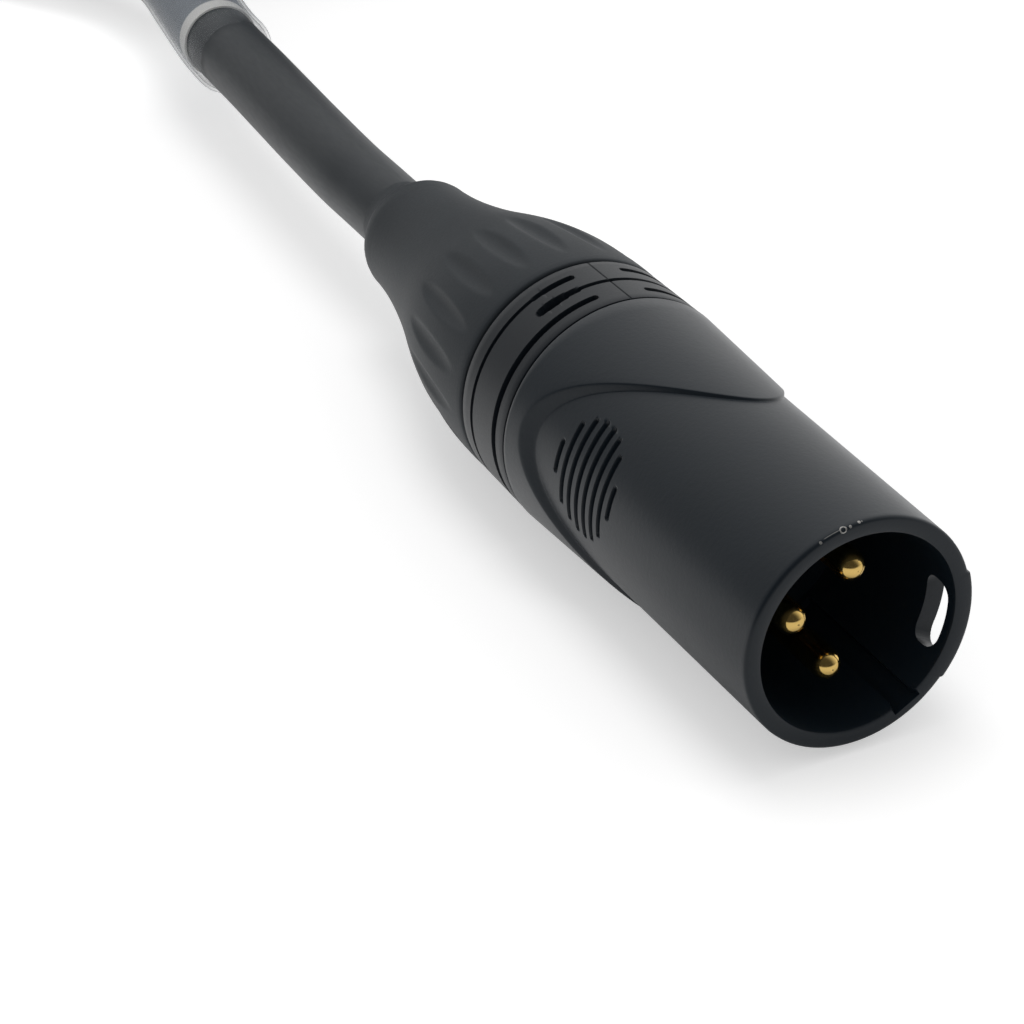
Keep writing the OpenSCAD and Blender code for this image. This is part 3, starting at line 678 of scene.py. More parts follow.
def relief_edge(turn):
    """Front edge of the relief at an angle from the middle of a bay."""
    middle_z = (RELIEF_FRONT + RELIEF_BAY) / 2
    reach = (RELIEF_BAY - RELIEF_FRONT) / 2
    return middle_z + reach * np.cos(2 * turn) + 0.3 * (1 - np.cos(4 * turn))


def groove_middles(count):
    return [GRIP_MID + (i - (count - 1) / 2) * GRIP_PITCH for i in range(count)]


def groove_depth(turn, z, radius, depth, count):
    """Depth of the thumb grip's grooves: soft-edged slots that fill an oval."""
    bay = (turn - RELIEF_TURN + math.pi / 2) % math.pi - math.pi / 2
    deepest = np.zeros_like(z)
    for middle_z in groove_middles(count):
        off = middle_z - GRIP_MID
        half = GRIP_HIGH * math.sqrt(1 - (2 * off / GRIP_LEN) ** 2) / 2 - GROOVE_W / 2
        past = np.maximum(np.abs(bay * radius) - half, 0)
        inside = GROOVE_W / 2 - np.hypot(past, z - middle_z)
        deepest = np.maximum(deepest, depth * smooth_step(inside, -0.05, 0.09))
    return deepest


def wall_rows(radii, grooves):
    """Heights of the corners along the outer wall, at the middle of a bay."""
    rows = [0.6, 1.2, 2.2, 3.5, 4.8, 5.6, 5.86, 5.95, 6.05, 6.14, 6.4,
            7.5, 9, 11, 13, 15, 16.5, 17.6, 18.6, 19.4]
    for middle_z in groove_middles(grooves):
        rows += [middle_z + d for d in
                 (-0.3, -0.25, -0.19, -0.1, 0.1, 0.19, 0.25, 0.3, GRIP_PITCH / 2)]
    rows += [29.0, 29.6, 30.2, 30.7, 31.1] + radii.edge_rows()
    last = rows[-1]
    return rows + [last + (LAST_ROW - last) * i / 10 for i in range(1, 10)]


def relief_form(plug, radii, pad):
    """Gives a plain turned shell its relief, grips and latch pad."""
    labels = radii.edge_rows()
    shares, beyonds = zip(*EDGE_ROWS)
    first, last = labels[0], labels[-1]

    def move(r, turn, z):
        # More of the corners round the middles of the bays, where the grips are
        turn = turn - 0.25 * np.sin(2 * (turn - RELIEF_TURN))
        outer = r > radii.barrel - 0.45
        edge = relief_edge(turn - RELIEF_TURN)
        top = radii.edge_span(edge)
        knee = edge + beyonds[0] - SQUEEZE
        front = np.where(z <= knee, z, knee + (z - knee) * SQUEEZE / (first - knee))
        share = np.interp(z, labels, shares)
        across = edge + (top - edge) * share + np.interp(z, labels, beyonds)
        end = top + beyonds[-1]
        behind = end + (z - last) / (LAST_ROW - last) * (LAST_ROW - end)
        moved = np.where(z <= first + 1e-4, front, np.where(z <= last + 1e-4, across, behind))
        z = np.where(outer & (z > 0.35) & (z < FLAT_BACK), moved, z)
        slope = radii.barrel * (z - RELIEF_APEX) / (edge - RELIEF_APEX)
        raised = soft_min(radii.relief_at(z), slope, 0.06)
        ground = np.full_like(z, radii.barrel)
        if pad:
            ground += PAD_RISE * (1 - smooth_step(np.abs(turn), *PAD_SIDE)) * (
                1 - smooth_step(z, *PAD_BACK))
        surface = soft_max(ground, raised, 0.03) - 0.0005
        surface = np.where(z > FLAT_BACK, radii.relief, surface)
        surface -= groove_depth(turn, z, radii.barrel, plug.groove_depth / MM, plug.grooves)
        return np.where(outer, r - radii.barrel + surface, r), turn, z

    return move


def rounded_box(width, height, corner, count):
    """Corners of a flat box with round corners, centred on 0."""
    points = []
    for quarter, (sx, sy) in enumerate(((1, 1), (-1, 1), (-1, -1), (1, -1))):
        for i in range(count + 1):
            a = math.pi / 2 * (quarter + i / count)
            points.append((sx * (width / 2 - corner) + corner * math.cos(a),
                           sy * (height / 2 - corner) + corner * math.sin(a)))
    return points


def window_cutter(radii):
    """The latch window: a rounded opening whose side walls point at the axis."""
    near, far = radii.cavity - 1.2, radii.barrel + 2
    outline = rounded_box(2 * near * math.tan(WINDOW_ARC / 2), WINDOW_LEN, 1.1, 8)
    cutter = prism("window", outline, near, far, far / near)
    cutter.data.transform(Matrix.Translation((0, 0, WINDOW_FRONT + WINDOW_LEN / 2)) @ SIDEWAYS)
    return cutter


def chuck_slot(radii, start):
    """The slot in a shell's bore that the key of the strain relief chuck runs in."""
    return block("slot", (radii.bore - 0.5, -CHUCK_HALF, start),
                 (radii.bore + CHUCK_DEPTH, CHUCK_HALF, BARREL_LEN + CHUCK_REACH), math.pi)


def wall_outline(radii, grooves):
    """Outline of a shell from the outer edge of its rim to the far end of its thread."""
    neck_end = BOOT_FLOOR - 0.4
    thread_start = BARREL_LEN - 4
    outline = [(radii.barrel + d, z) for d, z in RIM_EDGE]
    outline += [(radii.barrel, z) for z in wall_rows(radii, grooves)]
    return outline + [
        (radii.barrel, LAST_ROW), (radii.barrel - 0.07, BARREL_LEN - 0.07),
        (radii.barrel - 0.25, BARREL_LEN), (radii.neck, BARREL_LEN),
        (radii.neck, neck_end - 0.2), (radii.neck - 0.2, neck_end), (radii.thread, neck_end),
        (radii.thread, thread_start), (radii.bore, thread_start)]


def male_shell(plug):
    """The male shell: a barrel with a keyed mouth, a latch window and a threaded back."""
    radii = Radii(plug)
    ledge = CAVITY_DEPTH + 1.4
    outline = [(radii.cavity, 0.25), (radii.cavity + 0.06, 0.08), (radii.cavity + 0.22, 0.0)]
    outline += wall_outline(radii, plug.grooves)
    outline += [(radii.bore, ledge), (radii.bore - 0.6, ledge), (radii.bore - 0.6, CAVITY_DEPTH)]
    outline += [(radii.cavity, z) for z in (CAVITY_DEPTH, 12.0, 9.0, 6.0, 3.0)]
    piece = turned("male_barrel", outline, CASTING_STEPS)
    reshape(piece, relief_form(plug, radii, pad=True))
    key = block("key", (radii.cavity - 1, -0.9, -1),
                (radii.cavity + 0.6, 0.9, CAVITY_DEPTH - 0.5), KEY_TURN)
    mouth = prism("mouth", [(-1.3, -0.3), (1.3, -0.3), (0.9, 0.8), (-0.9, 0.8)],
                  radii.cavity - 1, radii.cavity + 0.6)
    mouth.data.transform(Matrix.Rotation(KEY_TURN, 4, "Z") @ SIDEWAYS)
    carve(piece, [window_cutter(radii), key, mouth, chuck_slot(radii, ledge + 0.01)])
    return piece


def female_shell(plug):
    """The female shell: a nose with a key, a slot for the latch and a threaded back."""
    radii = Radii(plug)
    ledge = CAVITY_DEPTH + 4
    outline = [(radii.nose_bore, -NOSE_LEN + 0.15), (radii.nose_bore + 0.15, -NOSE_LEN),
               (radii.nose - 0.35, -NOSE_LEN), (radii.nose - 0.1, -NOSE_LEN + 0.1)]
    outline += [(radii.nose, z) for z in (0.35 - NOSE_LEN, -12.0, -9.0, -6.0, -3.0, -0.1)]
    outline += [(radii.nose + 0.1, 0.0)] + wall_outline(radii, plug.grooves)
    outline += [(radii.bore, ledge), (radii.nose_bore, ledge)]
    piece = turned("female_barrel", outline, CASTING_STEPS)
    reshape(piece, relief_form(plug, radii, pad=False))
    key = block("key", (radii.nose - 0.4, -0.75, 0.5 - NOSE_LEN),
                (radii.cavity + 0.45, 0.75, 0.4), -KEY_TURN)
    carve(piece, [key], "UNION")
    slot = block("latch_slot", (radii.nose_bore - 2, -3.1, -4.35), (radii.barrel + 3, 3.1, 17.9))
    carve(piece, [slot, chuck_slot(radii, ledge)])
    return piece


RING_STEPS = 720
# The angle at which the split ring is parted
RING_PART = math.radians(-96.5)
# Slots of the split ring: height, half width, middle angle and span in degrees, depth
RING_FRONT = (1.55, 0.29, 90, 156.5, 1.3)
RING_BACK = (5.4, 0.29, 90, 156.5, 1.3)
RING_SIDE = (3.5, 0.19, 4, 80, 0.8)
RING_MARK = (3.5, 0.5, -24.5, 27, 0.95)
RING_SLOTS = (RING_FRONT, RING_BACK, RING_SIDE, RING_MARK)


def away_from(turn, centre):
    """Signed angle from a middle, between half a turn either way."""
    return (turn - centre + math.pi) % TURN - math.pi


def split_ring(plug):
    """The slotted ring between shell and boot, parted along one line."""
    radii = Radii(plug)
    start = BARREL_LEN + RING_PLAY
    outer0, outer1 = radii.relief - 0.04, radii.boot
    rows = [0.15, 0.7, 2.4, 4.4, 6.3, RING_LEN - 0.4]
    for slot in RING_SLOTS:
        height, half = slot[:2]
        soft = 0.1 if slot is RING_MARK else 0.08
        rows += [height + side * d for side in (-1, 1) for d in (half + 0.06, half, half - soft)]
        rows += [] if slot is RING_MARK else [height]
    rows = sorted(set(round(z, 3) for z in rows))
    outline = [(radii.neck + 0.01, start), (outer0 - 0.15, start), (outer0 - 0.04, start + 0.04)]
    outline += [(outer0 + (outer1 - outer0) * z / RING_LEN, start + z) for z in rows]
    outline += [(outer1 - 0.06, start + RING_LEN - 0.27), (outer1 - 0.3, start + RING_LEN - 0.2),
                (outer1 - 0.45, start + RING_LEN), (radii.neck + 0.01, start + RING_LEN)]
    piece = turned("split_ring", outline, RING_STEPS)

    def half_width(slot, tail):
        """Half width of a slot along its length, where tail goes from 0 to 1."""
        half = slot[1]
        if slot is RING_MARK:
            narrow = half - (half - 0.19) * smooth_step(tail, 0.3, 1.0)
            return narrow * (0.72 + 0.28 * smooth_step(tail, 0.0, 0.3))
        if slot is RING_BACK:
            return half - 0.15 * smooth_step(tail, 0.14, 0.3) * (1 - smooth_step(tail, 0.83, 0.92))
        return half

    def move(r, turn, z):
        level = z - start
        cut = np.zeros_like(r)
        for slot in RING_SLOTS:
            height, half, centre, span, depth = slot
            for side in (0, 180):
                away = away_from(turn, RING_PART + math.radians(side + centre))
                past = np.abs(away) * outer0 - (math.radians(span / 2) * outer0 - half)
                inside = half_width(slot, away / math.radians(span) + 0.5) - np.hypot(
                    np.maximum(past, 0), level - height)
                cut = np.maximum(cut, depth * smooth_step(inside, -0.04, 0.07))
        away = np.abs(away_from(turn, RING_PART)) * outer0
        cut = np.maximum(cut, 0.10 * (1 - smooth_step(away, 0.0, 0.1)))
        cut *= smooth_step(level, 0.0, 0.02) * (1 - smooth_step(level, RING_LEN - 0.02, RING_LEN))
        return np.where(r > outer1 - 0.5, r - cut, r), turn, z

    reshape(piece, move)
    return piece


# The boot: height and radius of its bulge, where its taper starts, and the taper's power
BULGE_Z, BULGE_R, TAPER_Z, TAPER_POWER = 1.4, 38.0, 15.4, 1.45
# The finger flutes' tool: height of its middle, tilt, and radii along and across a flute
FLUTE_Z, FLUTE_TILT, FLUTE_ALONG, FLUTE_ACROSS = 7.9, math.radians(8), 200, 1.1
STEPS_A_FLUTE = 20
# The boot's rounded end: share of its fall to the cable, and share of its length
BOOT_LIP = ((0.02, 0.1), (0.07, 0.2), (0.16, 0.3), (0.28, 0.39), (0.42, 0.47), (0.57, 0.54),
            (0.71, 0.61), (0.83, 0.69), (0.91, 0.78), (0.96, 0.88), (1.0, 1.0))


def boot(plug, cable_r):
    """The soft boot: a bulge with finger flutes that runs out to a rounded end."""
    radii = Radii(plug)
    top, nut = radii.boot, radii.relief - 1.3
    end = BOOT_LEN - 5
    lip = end + 0.3

    def bulge(z):
        return top - BULGE_R + math.sqrt(BULGE_R ** 2 - (z - BULGE_Z) ** 2)

    def slim(z):
        left = 1 - (z - TAPER_Z) / (end - TAPER_Z)
        return BOOT_END + (bulge(TAPER_Z) - BOOT_END) * left ** TAPER_POWER

    profile = [(top - 0.2, 0.0), (top - 0.06, 0.07), (top, 0.25), (top, 0.8)]
    heights = np.arange(BULGE_Z, end + 0.15, 0.3)
    radius = np.array([bulge(z) if z < TAPER_Z else slim(min(z, end)) for z in heights])
    for _ in range(40):
        radius[1:-1] = (radius[:-2] + 2 * radius[1:-1] + radius[2:]) / 4
    profile += list(zip(radius, heights))
    profile += [(BOOT_END - (BOOT_END - cable_r - 0.1) * share, lip + (BOOT_LEN - lip) * along)
                for share, along in BOOT_LIP]
    profile += [(cable_r + 0.12, 19), (5.6, 19), (nut, 3), (nut, 0)]
    piece = turned("boot", [(r, z + BOOT_FLOOR) for r, z in profile], plug.flutes * STEPS_A_FLUTE)
    pitch = TURN / plug.flutes
    bottom = bulge(FLUTE_Z) - plug.flute_depth / MM - 0.03

    def move(r, turn, z):
        height = z - BOOT_FLOOR
        off = height - FLUTE_Z
        away = (turn + pitch / 2) % pitch - pitch / 2
        tool = bottom - math.tan(FLUTE_TILT) * off + off ** 2 / (2 * FLUTE_ALONG) + (
            r * away) ** 2 / (2 * FLUTE_ACROSS)
        outer = ((r > nut + 0.02) | (height > 4)) & (height > 1) & (height < 17) & (r > 6.4)
        return np.where(outer, soft_min(r, tool, 0.04), r), turn, z

    reshape(piece, move)
    return piece


# ------------------------------------------------------------------ cable route

# The hank, in mm: its straight runs, the radius of its inner folds, the steps between its
# loops and its layers, the loops in a layer and in all, the straight stub at each end, its
# middle and near edge, and how far the strap pulls each side in
RUN = 86.0
FOLD_R = 20.0
LOOP_STEP = 7.35
LAYER_STEP = 7.1
LAYER_TURNS = 2
TURNS = 7.75
STUB = 7.0
HANK_X = 28.0
HANK_NEAR = 104.2
WAIST_PULL = 11.5
STEPS_A_TURN = 96
# Points that the cable passes on its way from the male plug to the hank, in mm, and the
# number of steps from one to the next
LEAD = ((0, 36.6, 10.3), (0, 41.6, 10.3), (0, 46.6, 10.3), (0.45, 54.9, 10.15), (1, 62.3, 9.95),
        (1.5, 68.9, 9.75), (1.8, 73.8, 9.6), (2.1, 77.6, 9.5), (2.75, 81.9, 9.35),
        (3.7, 87.5, 9.2), (4.8, 94.2, 9), (5, 99.2, 8.6), (4.4, 103.9, 8), (3, 108.1, 7.3),
        (0.8, 112, 6.5), (-1.9, 115.9, 5.7), (-5, 121.1, 4.6), (-6.9, 127, 3.7))
LEAD_STEPS = 8
# The first and last of these points under the sleeve and under the label
SLEEVE_SPAN = (6, 12)
LABEL_SPAN = (7, 11)


def climb(u):
    """A smooth rise from 0 to 1."""
    return (1 - math.cos(math.pi * min(max(u, 0), 1))) / 2


class Route:
    """The centre line of the whole free cable, in millimetres."""

    def __init__(self, cable_r, lift):
        self.cable_r = cable_r
        self.lift = lift
        self.fold_out = FOLD_R + LAYER_TURNS * LOOP_STEP
        self.near = HANK_NEAR + self.fold_out + cable_r
        self.waist = self.near + RUN / 2
        self.start = (HANK_X - self.fold_at(0), self.near, cable_r)
        self.last = (HANK_X + self.fold_at(TURNS), self.near, self.height_at(TURNS))
        guide = list(LEAD) + [(self.start[0], self.start[1] - STUB - d, cable_r) for d in (3, 0)]
        self.lead = self.spline(guide, LEAD_STEPS)

    def under(self, span):
        """The line between two of the lead's points."""
        return self.lead[span[0] * LEAD_STEPS:span[1] * LEAD_STEPS + 1]

    def fold_at(self, t):
        """Radius of the folds, from the outer loop in and out again, layer by layer."""
        u = t - 1 / 8
        k = max(math.floor(u / LAYER_TURNS), 0)
        v = u - k * LAYER_TURNS
        return self.fold_out - LOOP_STEP * (v if k % 2 == 0 else LAYER_TURNS - v)

    def height_at(self, t):
        """Height of the loops, which climb a layer every second turn."""
        return self.cable_r + LAYER_STEP * (climb((t - 2) * 4) + climb((t - 4) * 4)
                                            + climb((t - 6) * 4) + climb((t - TURNS + 0.1) * 10))

    def waist_at(self, y):
        """How near the waist is along the runs, from 0 to 1."""
        return (1 + math.cos(TURN * (y - self.waist) / RUN)) / 2

    def run_at(self, w, y):
        """Distance of a run from the hank's middle line, pulled in at the waist."""
        slope = WAIST_PULL * math.pi / RUN * math.sin(TURN * (y - self.waist) / RUN)
        return FOLD_R - WAIST_PULL * self.waist_at(y) + (w - FOLD_R) * math.sqrt(1 + slope ** 2)

    def hank_point(self, t):
        """The centre line after t turns of the hank."""
        part = (t - math.floor(t)) * 4
        q = math.floor(part)
        u = part - q
        w, z = self.fold_at(t), self.height_at(t)
        if q in (0, 2):
            y = self.near + (u if q == 0 else 1 - u) * RUN
            side = -1 if q == 0 else 1
            return (HANK_X + side * self.run_at(w, y), y, z + self.waist_at(y) * self.lift)
        side = -1 if q == 1 else 1
        y = self.near + RUN if q == 1 else self.near
        return (HANK_X + side * w * math.cos(math.pi * u), y - side * w * math.sin(math.pi * u), z)

    def spline(self, points, steps):
        """A smooth curve through the points, kept on the ground or above it."""
        p = np.array(points, float)
        m = len(p) - 1
        line = []
        for i in range(m):
            a, b, c, d = p[max(i - 1, 0)], p[i], p[i + 1], p[min(i + 2, m)]
            for k in range(steps):
                u = k / steps
                line.append(0.5 * (2 * b + u * (c - a) + u * u * (2 * a - 5 * b + 4 * c - d)
                                   + u ** 3 * (3 * b - a - 3 * c + d)))
        line = np.array(line + [p[m]])
        line[:, 2] = np.maximum(line[:, 2], self.cable_r)
        return line

    def hank(self):
        points = [self.hank_point(i / STEPS_A_TURN) for i in range(int(TURNS * STEPS_A_TURN))]
        return np.array(points + [self.last, (self.last[0], self.last[1] - STUB, self.last[2])])

    def tail(self):
        plug = middle("female_gland_nut") / MM
        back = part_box("female_boot")[0].y / MM
        mid, radius = (self.last[0] + plug.x) / 2, (self.last[0] - plug.x) / 2
        low = self.near - STUB - 2
        points = [(mid + radius * math.cos(a), low - radius * math.sin(a),
                   self.last[2] + (plug.z - self.last[2]) * climb((math.degrees(a) - 60) / 120))
                  for a in np.radians(np.arange(0, 181, 7.5))]
        return np.array(points + [(plug.x, back - 4.4, plug.z), (plug.x, back, plug.z)])

    def whole(self):
        return np.concatenate([self.lead, self.hank(), self.tail()])


def route_of(settings):
    return Route(settings.radius / MM, settings.strap_thickness / MM + 0.1)


def lengths(vectors):
    return np.linalg.norm(vectors, axis=1)


def length_of(line):
    return float(np.sum(lengths(np.diff(line, axis=0))))


def swept(name, line, section, scales=None, closed=False, flat=None):
    """A skin along a line of points, with a UV map in metres: along, then round.

    section holds (across, up) corners; scales changes its size along the line; flat
    is the section's fixed across direction, where it has one."""
    line = np.asarray(line, float)
    count, corners = len(line), len(section)
    ahead = np.roll(line, -1, 0) - line
    behind = line - np.roll(line, 1, 0)
    if not closed:
        ahead[-1], behind[0] = behind[-1], ahead[0]
    heading = ahead / lengths(ahead)[:, None] + behind / lengths(behind)[:, None]
    heading /= lengths(heading)[:, None]
    if flat is None:
        side = np.cross(heading, (0, 0, 1.0))
    else:
        side = np.tile(flat, (count, 1)).astype(float)
    side /= lengths(side)[:, None]
    up = np.cross(side, heading)
    section = np.asarray(section, float)
    scales = np.ones(count) if scales is None else np.asarray(scales, float)
    rings = (line[:, None, :] + scales[:, None, None] * (
        section[None, :, 0, None] * side[:, None, :] + section[None, :, 1, None] * up[:, None, :]))
    faces, uvs = [], []
    along = np.concatenate([[0], np.cumsum(lengths(ahead))])
    round_it = np.concatenate([[0], np.cumsum(lengths(np.roll(section, -1, 0) - section))])
    for i in range(count if closed else count - 1):
        j = (i + 1) % count
        for k in range(corners):
            n = (k + 1) % corners
            faces.append((i * corners + k, i * corners + n, j * corners + n, j * corners + k))
            uvs += [(along[i], round_it[k]), (along[i], round_it[k + 1]),
                    (along[i + 1], round_it[k + 1]), (along[i + 1], round_it[k])]
    if not closed:
        faces.append(tuple(range(corners - 1, -1, -1)))
        faces.append(tuple((count - 1) * corners + k for k in range(corners)))
        uvs += [(0.0, 0.0)] * corners + [(along[-1], 0.0)] * corners
    mesh = bpy.data.meshes.new(name)
    mesh.from_pydata(rings.reshape(-1, 3).tolist(), [], faces)
    layer = mesh.uv_layers.new(name="UVMap")
    layer.data.foreach_set("uv", (np.array(uvs) * MM).astype(np.float32).ravel())
    piece = bpy.data.objects.new(name, mesh)
    bpy.context.scene.collection.objects.link(piece)
    with editing(piece):
        bpy.ops.mesh.normals_make_consistent(inside=False)
    return piece


def circle(radius, count):
    return [(radius * math.cos(TURN * k / count), radius * math.sin(TURN * k / count))
            for k in range(count)]


# -------------------------------------------------------------------- operators

CABLE_SIDES = 28
WRAP_SIDES = 48
# Distances of the rings of a shrunk end from the sleeve's cut, in mm
SHRINK_STEPS = (0.0, 0.06, 0.2, 0.42, 0.7, 1.0)


class LEAD_OT_finishes(bpy.types.Operator):
    """Make every finish of the lead"""
    bl_idname = "lead.finishes"
    bl_label = "Finishes"

    def execute(self, context):
        cable = context.scene.lead_cable
        route = route_of(cable)
        settings = context.scene.lead_finish
        colour = {name: tuple(getattr(settings, name)) for name in settings.__annotations__}
        lacquer_finish("lacquer_scuffed", colour["lacquer"], scuffed=True)
        lacquer_finish("lacquer", colour["lacquer"])
        moulded_finish("moulded_nylon", colour["nylon"], 0.42, 5200.0, 0.14)
        moulded_finish("pale_nylon", (0.20, 0.20, 0.21), 0.48, 4200.0, 0.2)
        moulded_finish("boot_rubber", colour["boot"], 0.56, 4600.0, 0.26)
        moulded_finish("red_insulation", (0.52, 0.035, 0.03), 0.4, 3000.0, 0.08)
        moulded_finish("white_insulation", (0.72, 0.72, 0.70), 0.4, 3000.0, 0.08)
        gold_finish(colour["gold"])
        steel_finish((0.60, 0.60, 0.60), 0.24)
        strand_finish((0.83, 0.42, 0.24))
        jacket_finish(colour["jacket"])
        label_finish(colour["label"], length_of(route.under(LABEL_SPAN)) * MM,
                     TURN * (cable.radius + cable.label))
        sleeve_finish(length_of(route.under(SLEEVE_SPAN)) * MM)
        strap_finish(colour["strap"], cable.strap_width)
        return {"FINISHED"}


class LEAD_OT_camera(bpy.types.Operator):
    """Add the camera"""
    bl_idname = "lead.camera"
    bl_label = "Camera"

    def execute(self, context):
        stage = context.scene.lead_stage
        deselect()
        bpy.ops.object.camera_add(location=stage.camera_place, rotation=stage.camera_turn)
        camera = context.object
        camera.data.lens = stage.lens
        camera.data.sensor_width = 36.0
        camera.data.clip_start = 0.01
        context.scene.camera = camera
        return {"FINISHED"}


class LEAD_OT_cable(bpy.types.Operator):
    """Lay the cable from the male plug through the hank to the female plug"""
    bl_idname = "lead.cable"
    bl_label = "Cable"

    def execute(self, context):
        settings = context.scene.lead_cable
        line = route_of(settings).whole()
        cable = swept("cable", line, circle(settings.radius / MM, CABLE_SIDES))
        settle(cable, "drawn_jacket", ["cable_lead", "cable_hank", "cable_tail"],
               smooth=60)
        return {"FINISHED"}


class LEAD_OT_label(bpy.types.Operator):
    """Wrap the label and its clear sleeve round the cable"""
    bl_idname = "lead.label"
    bl_label = "Label and sleeve"

    def execute(self, context):
        settings = context.scene.lead_cable
        route = route_of(settings)
        inner = settings.radius / MM
        paper = settings.label / MM
        clear = settings.sleeve / MM
        label = swept("label", route.under(LABEL_SPAN), circle(inner + paper, WRAP_SIDES))
        self.hollow(label, paper - 0.02)
        settle(label, "printed_film", ["label_print"], smooth=50)
        outer = inner + paper + clear
        line, scales = self.with_round_ends(route.under(SLEEVE_SPAN), outer, inner + 0.12)
        sleeve = swept("sleeve", line, circle(outer, WRAP_SIDES), scales)
        self.hollow(sleeve, clear * 0.6)
        settle(sleeve, "shrink_film", ["label_sleeve"], smooth=50)
        return {"FINISHED"}

    def hollow(self, piece, wall):
        """Removes the two flat ends of a tube and gives it a wall on its inner side."""
        with editing(piece):
            bpy.ops.mesh.select_mode(type="FACE")
            bpy.ops.mesh.select_all(action="DESELECT")
        most = max(len(face.vertices) for face in piece.data.polygons)
        for face in piece.data.polygons:
            face.select = len(face.vertices) == most
        bpy.ops.object.mode_set(mode="EDIT")
        bpy.ops.mesh.delete(type="ONLY_FACE")
        bpy.ops.mesh.select_mode(type="VERT")
        take(piece)
        solid = piece.modifiers.new("wall", "SOLIDIFY")
        solid.thickness = wall
        solid.offset = -1
        bpy.ops.object.modifier_apply(modifier=solid.name)

    def with_round_ends(self, line, radius, small):
        """Extra rings at each end, where the sleeve shrinks on to the cable."""
        ends = []
        for near, towards in ((line[0], line[2]), (line[-1], line[-3])):
            unit = (towards - near) / np.linalg.norm(towards - near)
            ends.append([near + unit * s for s in SHRINK_STEPS])
        low = small / radius
        sizes = [low + (1 - low) * math.sqrt(1 - (1 - s) ** 2) for s in SHRINK_STEPS]
        clear = [p for p in line if min(lengths(p - line[[0, -1]])) > 1.2]
        points = ends[0] + clear + ends[1][::-1]
        return np.array(points), sizes + [1.0] * len(clear) + sizes[::-1]


class LEAD_OT_strap(bpy.types.Operator):
    """Tie the strap round the hank and the female plug"""
    bl_idname = "lead.strap"
    bl_label = "Tie strap"

    def execute(self, context):
        settings = context.scene.lead_cable
        route = route_of(settings)
        thick = settings.strap_thickness / MM
        outline = self.outline(route, thick)
        section = rounded_box(settings.strap_width / MM, thick * 0.92, thick * 0.4, 3)
        strap = swept("strap", outline, section, closed=True, flat=(0, 1, 0))
        beside = np.mean(outline, axis=0)[0] + 20
        side = sorted((p for p in outline if p[0] > beside and 6.5 < p[2] < 26),
                      key=lambda p: p[2])
        lap = [p + (thick * 0.97, 0, 0) for p in side]
        tongue = swept("tongue", lap, section, flat=(0, 1, 0))
        for piece in (strap, tongue):
            self.map_across(piece, route.waist)
        take(strap)
        tongue.select_set(True)
        bpy.ops.object.join()
        settle(strap, "hook_tape", ["tie_strap"], smooth=40)
        return {"FINISHED"}

    def outline(self, route, thick):
        """The strap's middle line: the hull of the hank's box and the plug's barrel."""
        low, high = (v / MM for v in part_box("tie_strap"))
        plug = middle("female_gland_nut") / MM
        corner = 5 - thick / 2
        half = (high.x - low.x - thick) / 2 - thick / 2
        box_top = 2 * route.cable_r + 3 * LAYER_STEP + route.lift + 0.15 + thick / 2
        rounds = [(x, z, corner, 10) for x in (HANK_X - half + corner, HANK_X + half - corner)
                  for z in (thick / 2 + corner, box_top - corner)]
        rounds.append((plug.x, plug.z, high.z - plug.z - thick / 2, 6))
        hull = self.hull([(x + radius * math.cos(a), z + radius * math.sin(a))
                          for x, z, radius, degrees in rounds
                          for a in np.radians(np.arange(0, 360, degrees))])
        line = []
        for (x0, z0), (x1, z1) in zip(hull, hull[1:] + hull[:1]):
            pieces = max(1, int(math.hypot(x1 - x0, z1 - z0) / 1.2))
            line += [(x0 + (x1 - x0) * i / pieces, route.waist, z0 + (z1 - z0) * i / pieces)
                     for i in range(pieces)]
        return np.array(line)

    def hull(self, points):
        """Convex hull of flat points, anticlockwise."""
        points = sorted(set((round(x, 5), round(z, 5)) for x, z in points))

        def half(these):
            kept = []
            for p in these:
                while len(kept) > 1 and (
                        (kept[-1][0] - kept[-2][0]) * (p[1] - kept[-2][1])
                        - (kept[-1][1] - kept[-2][1]) * (p[0] - kept[-2][0])) <= 0:
                    kept.pop()
                kept.append(p)
            return kept[:-1]

        return half(points) + half(points[::-1])

    def map_across(self, piece, waist):
        """Sets the UV map's second value to the distance from the strap's middle."""
        layer = piece.data.uv_layers["UVMap"]
        for loop in piece.data.loops:
            across = piece.data.vertices[loop.vertex_index].co.y - waist
            layer.data[loop.index].uv[1] = across * MM


class LEAD_OT_shells(bpy.types.Operator):
    """Cast the two shells with their relief, grips and openings"""
    bl_idname = "lead.shells"
    bl_label = "Shells"

    def execute(self, context):
        plug = context.scene.lead_plug
        for kind, make, finish in (("male", male_shell, "lacquer_scuffed"),
                                   ("female", female_shell, "lacquer")):
            settle(make(plug), finish, [f"{kind}_shell"], smooth=38,
                   place=plug_place(kind))
        return {"FINISHED"}


class LEAD_OT_rings(bpy.types.Operator):
    """Make the two split rings"""
    bl_idname = "lead.rings"
    bl_label = "Split rings"

    def execute(self, context):
        settle_pair(split_ring(context.scene.lead_plug), "marker_ring", "moulded_nylon",
                    "split_ring", smooth=38)
        return {"FINISHED"}


class LEAD_OT_boots(bpy.types.Operator):
    """Mould the two soft boots"""
    bl_idname = "lead.boots"
    bl_label = "Boots"

    def execute(self, context):
        scene = context.scene
        settle_pair(boot(scene.lead_plug, scene.lead_cable.radius / MM), "soft_boot",
                    "boot_rubber", "boot", smooth=50, body="screw_boot")
        return {"FINISHED"}


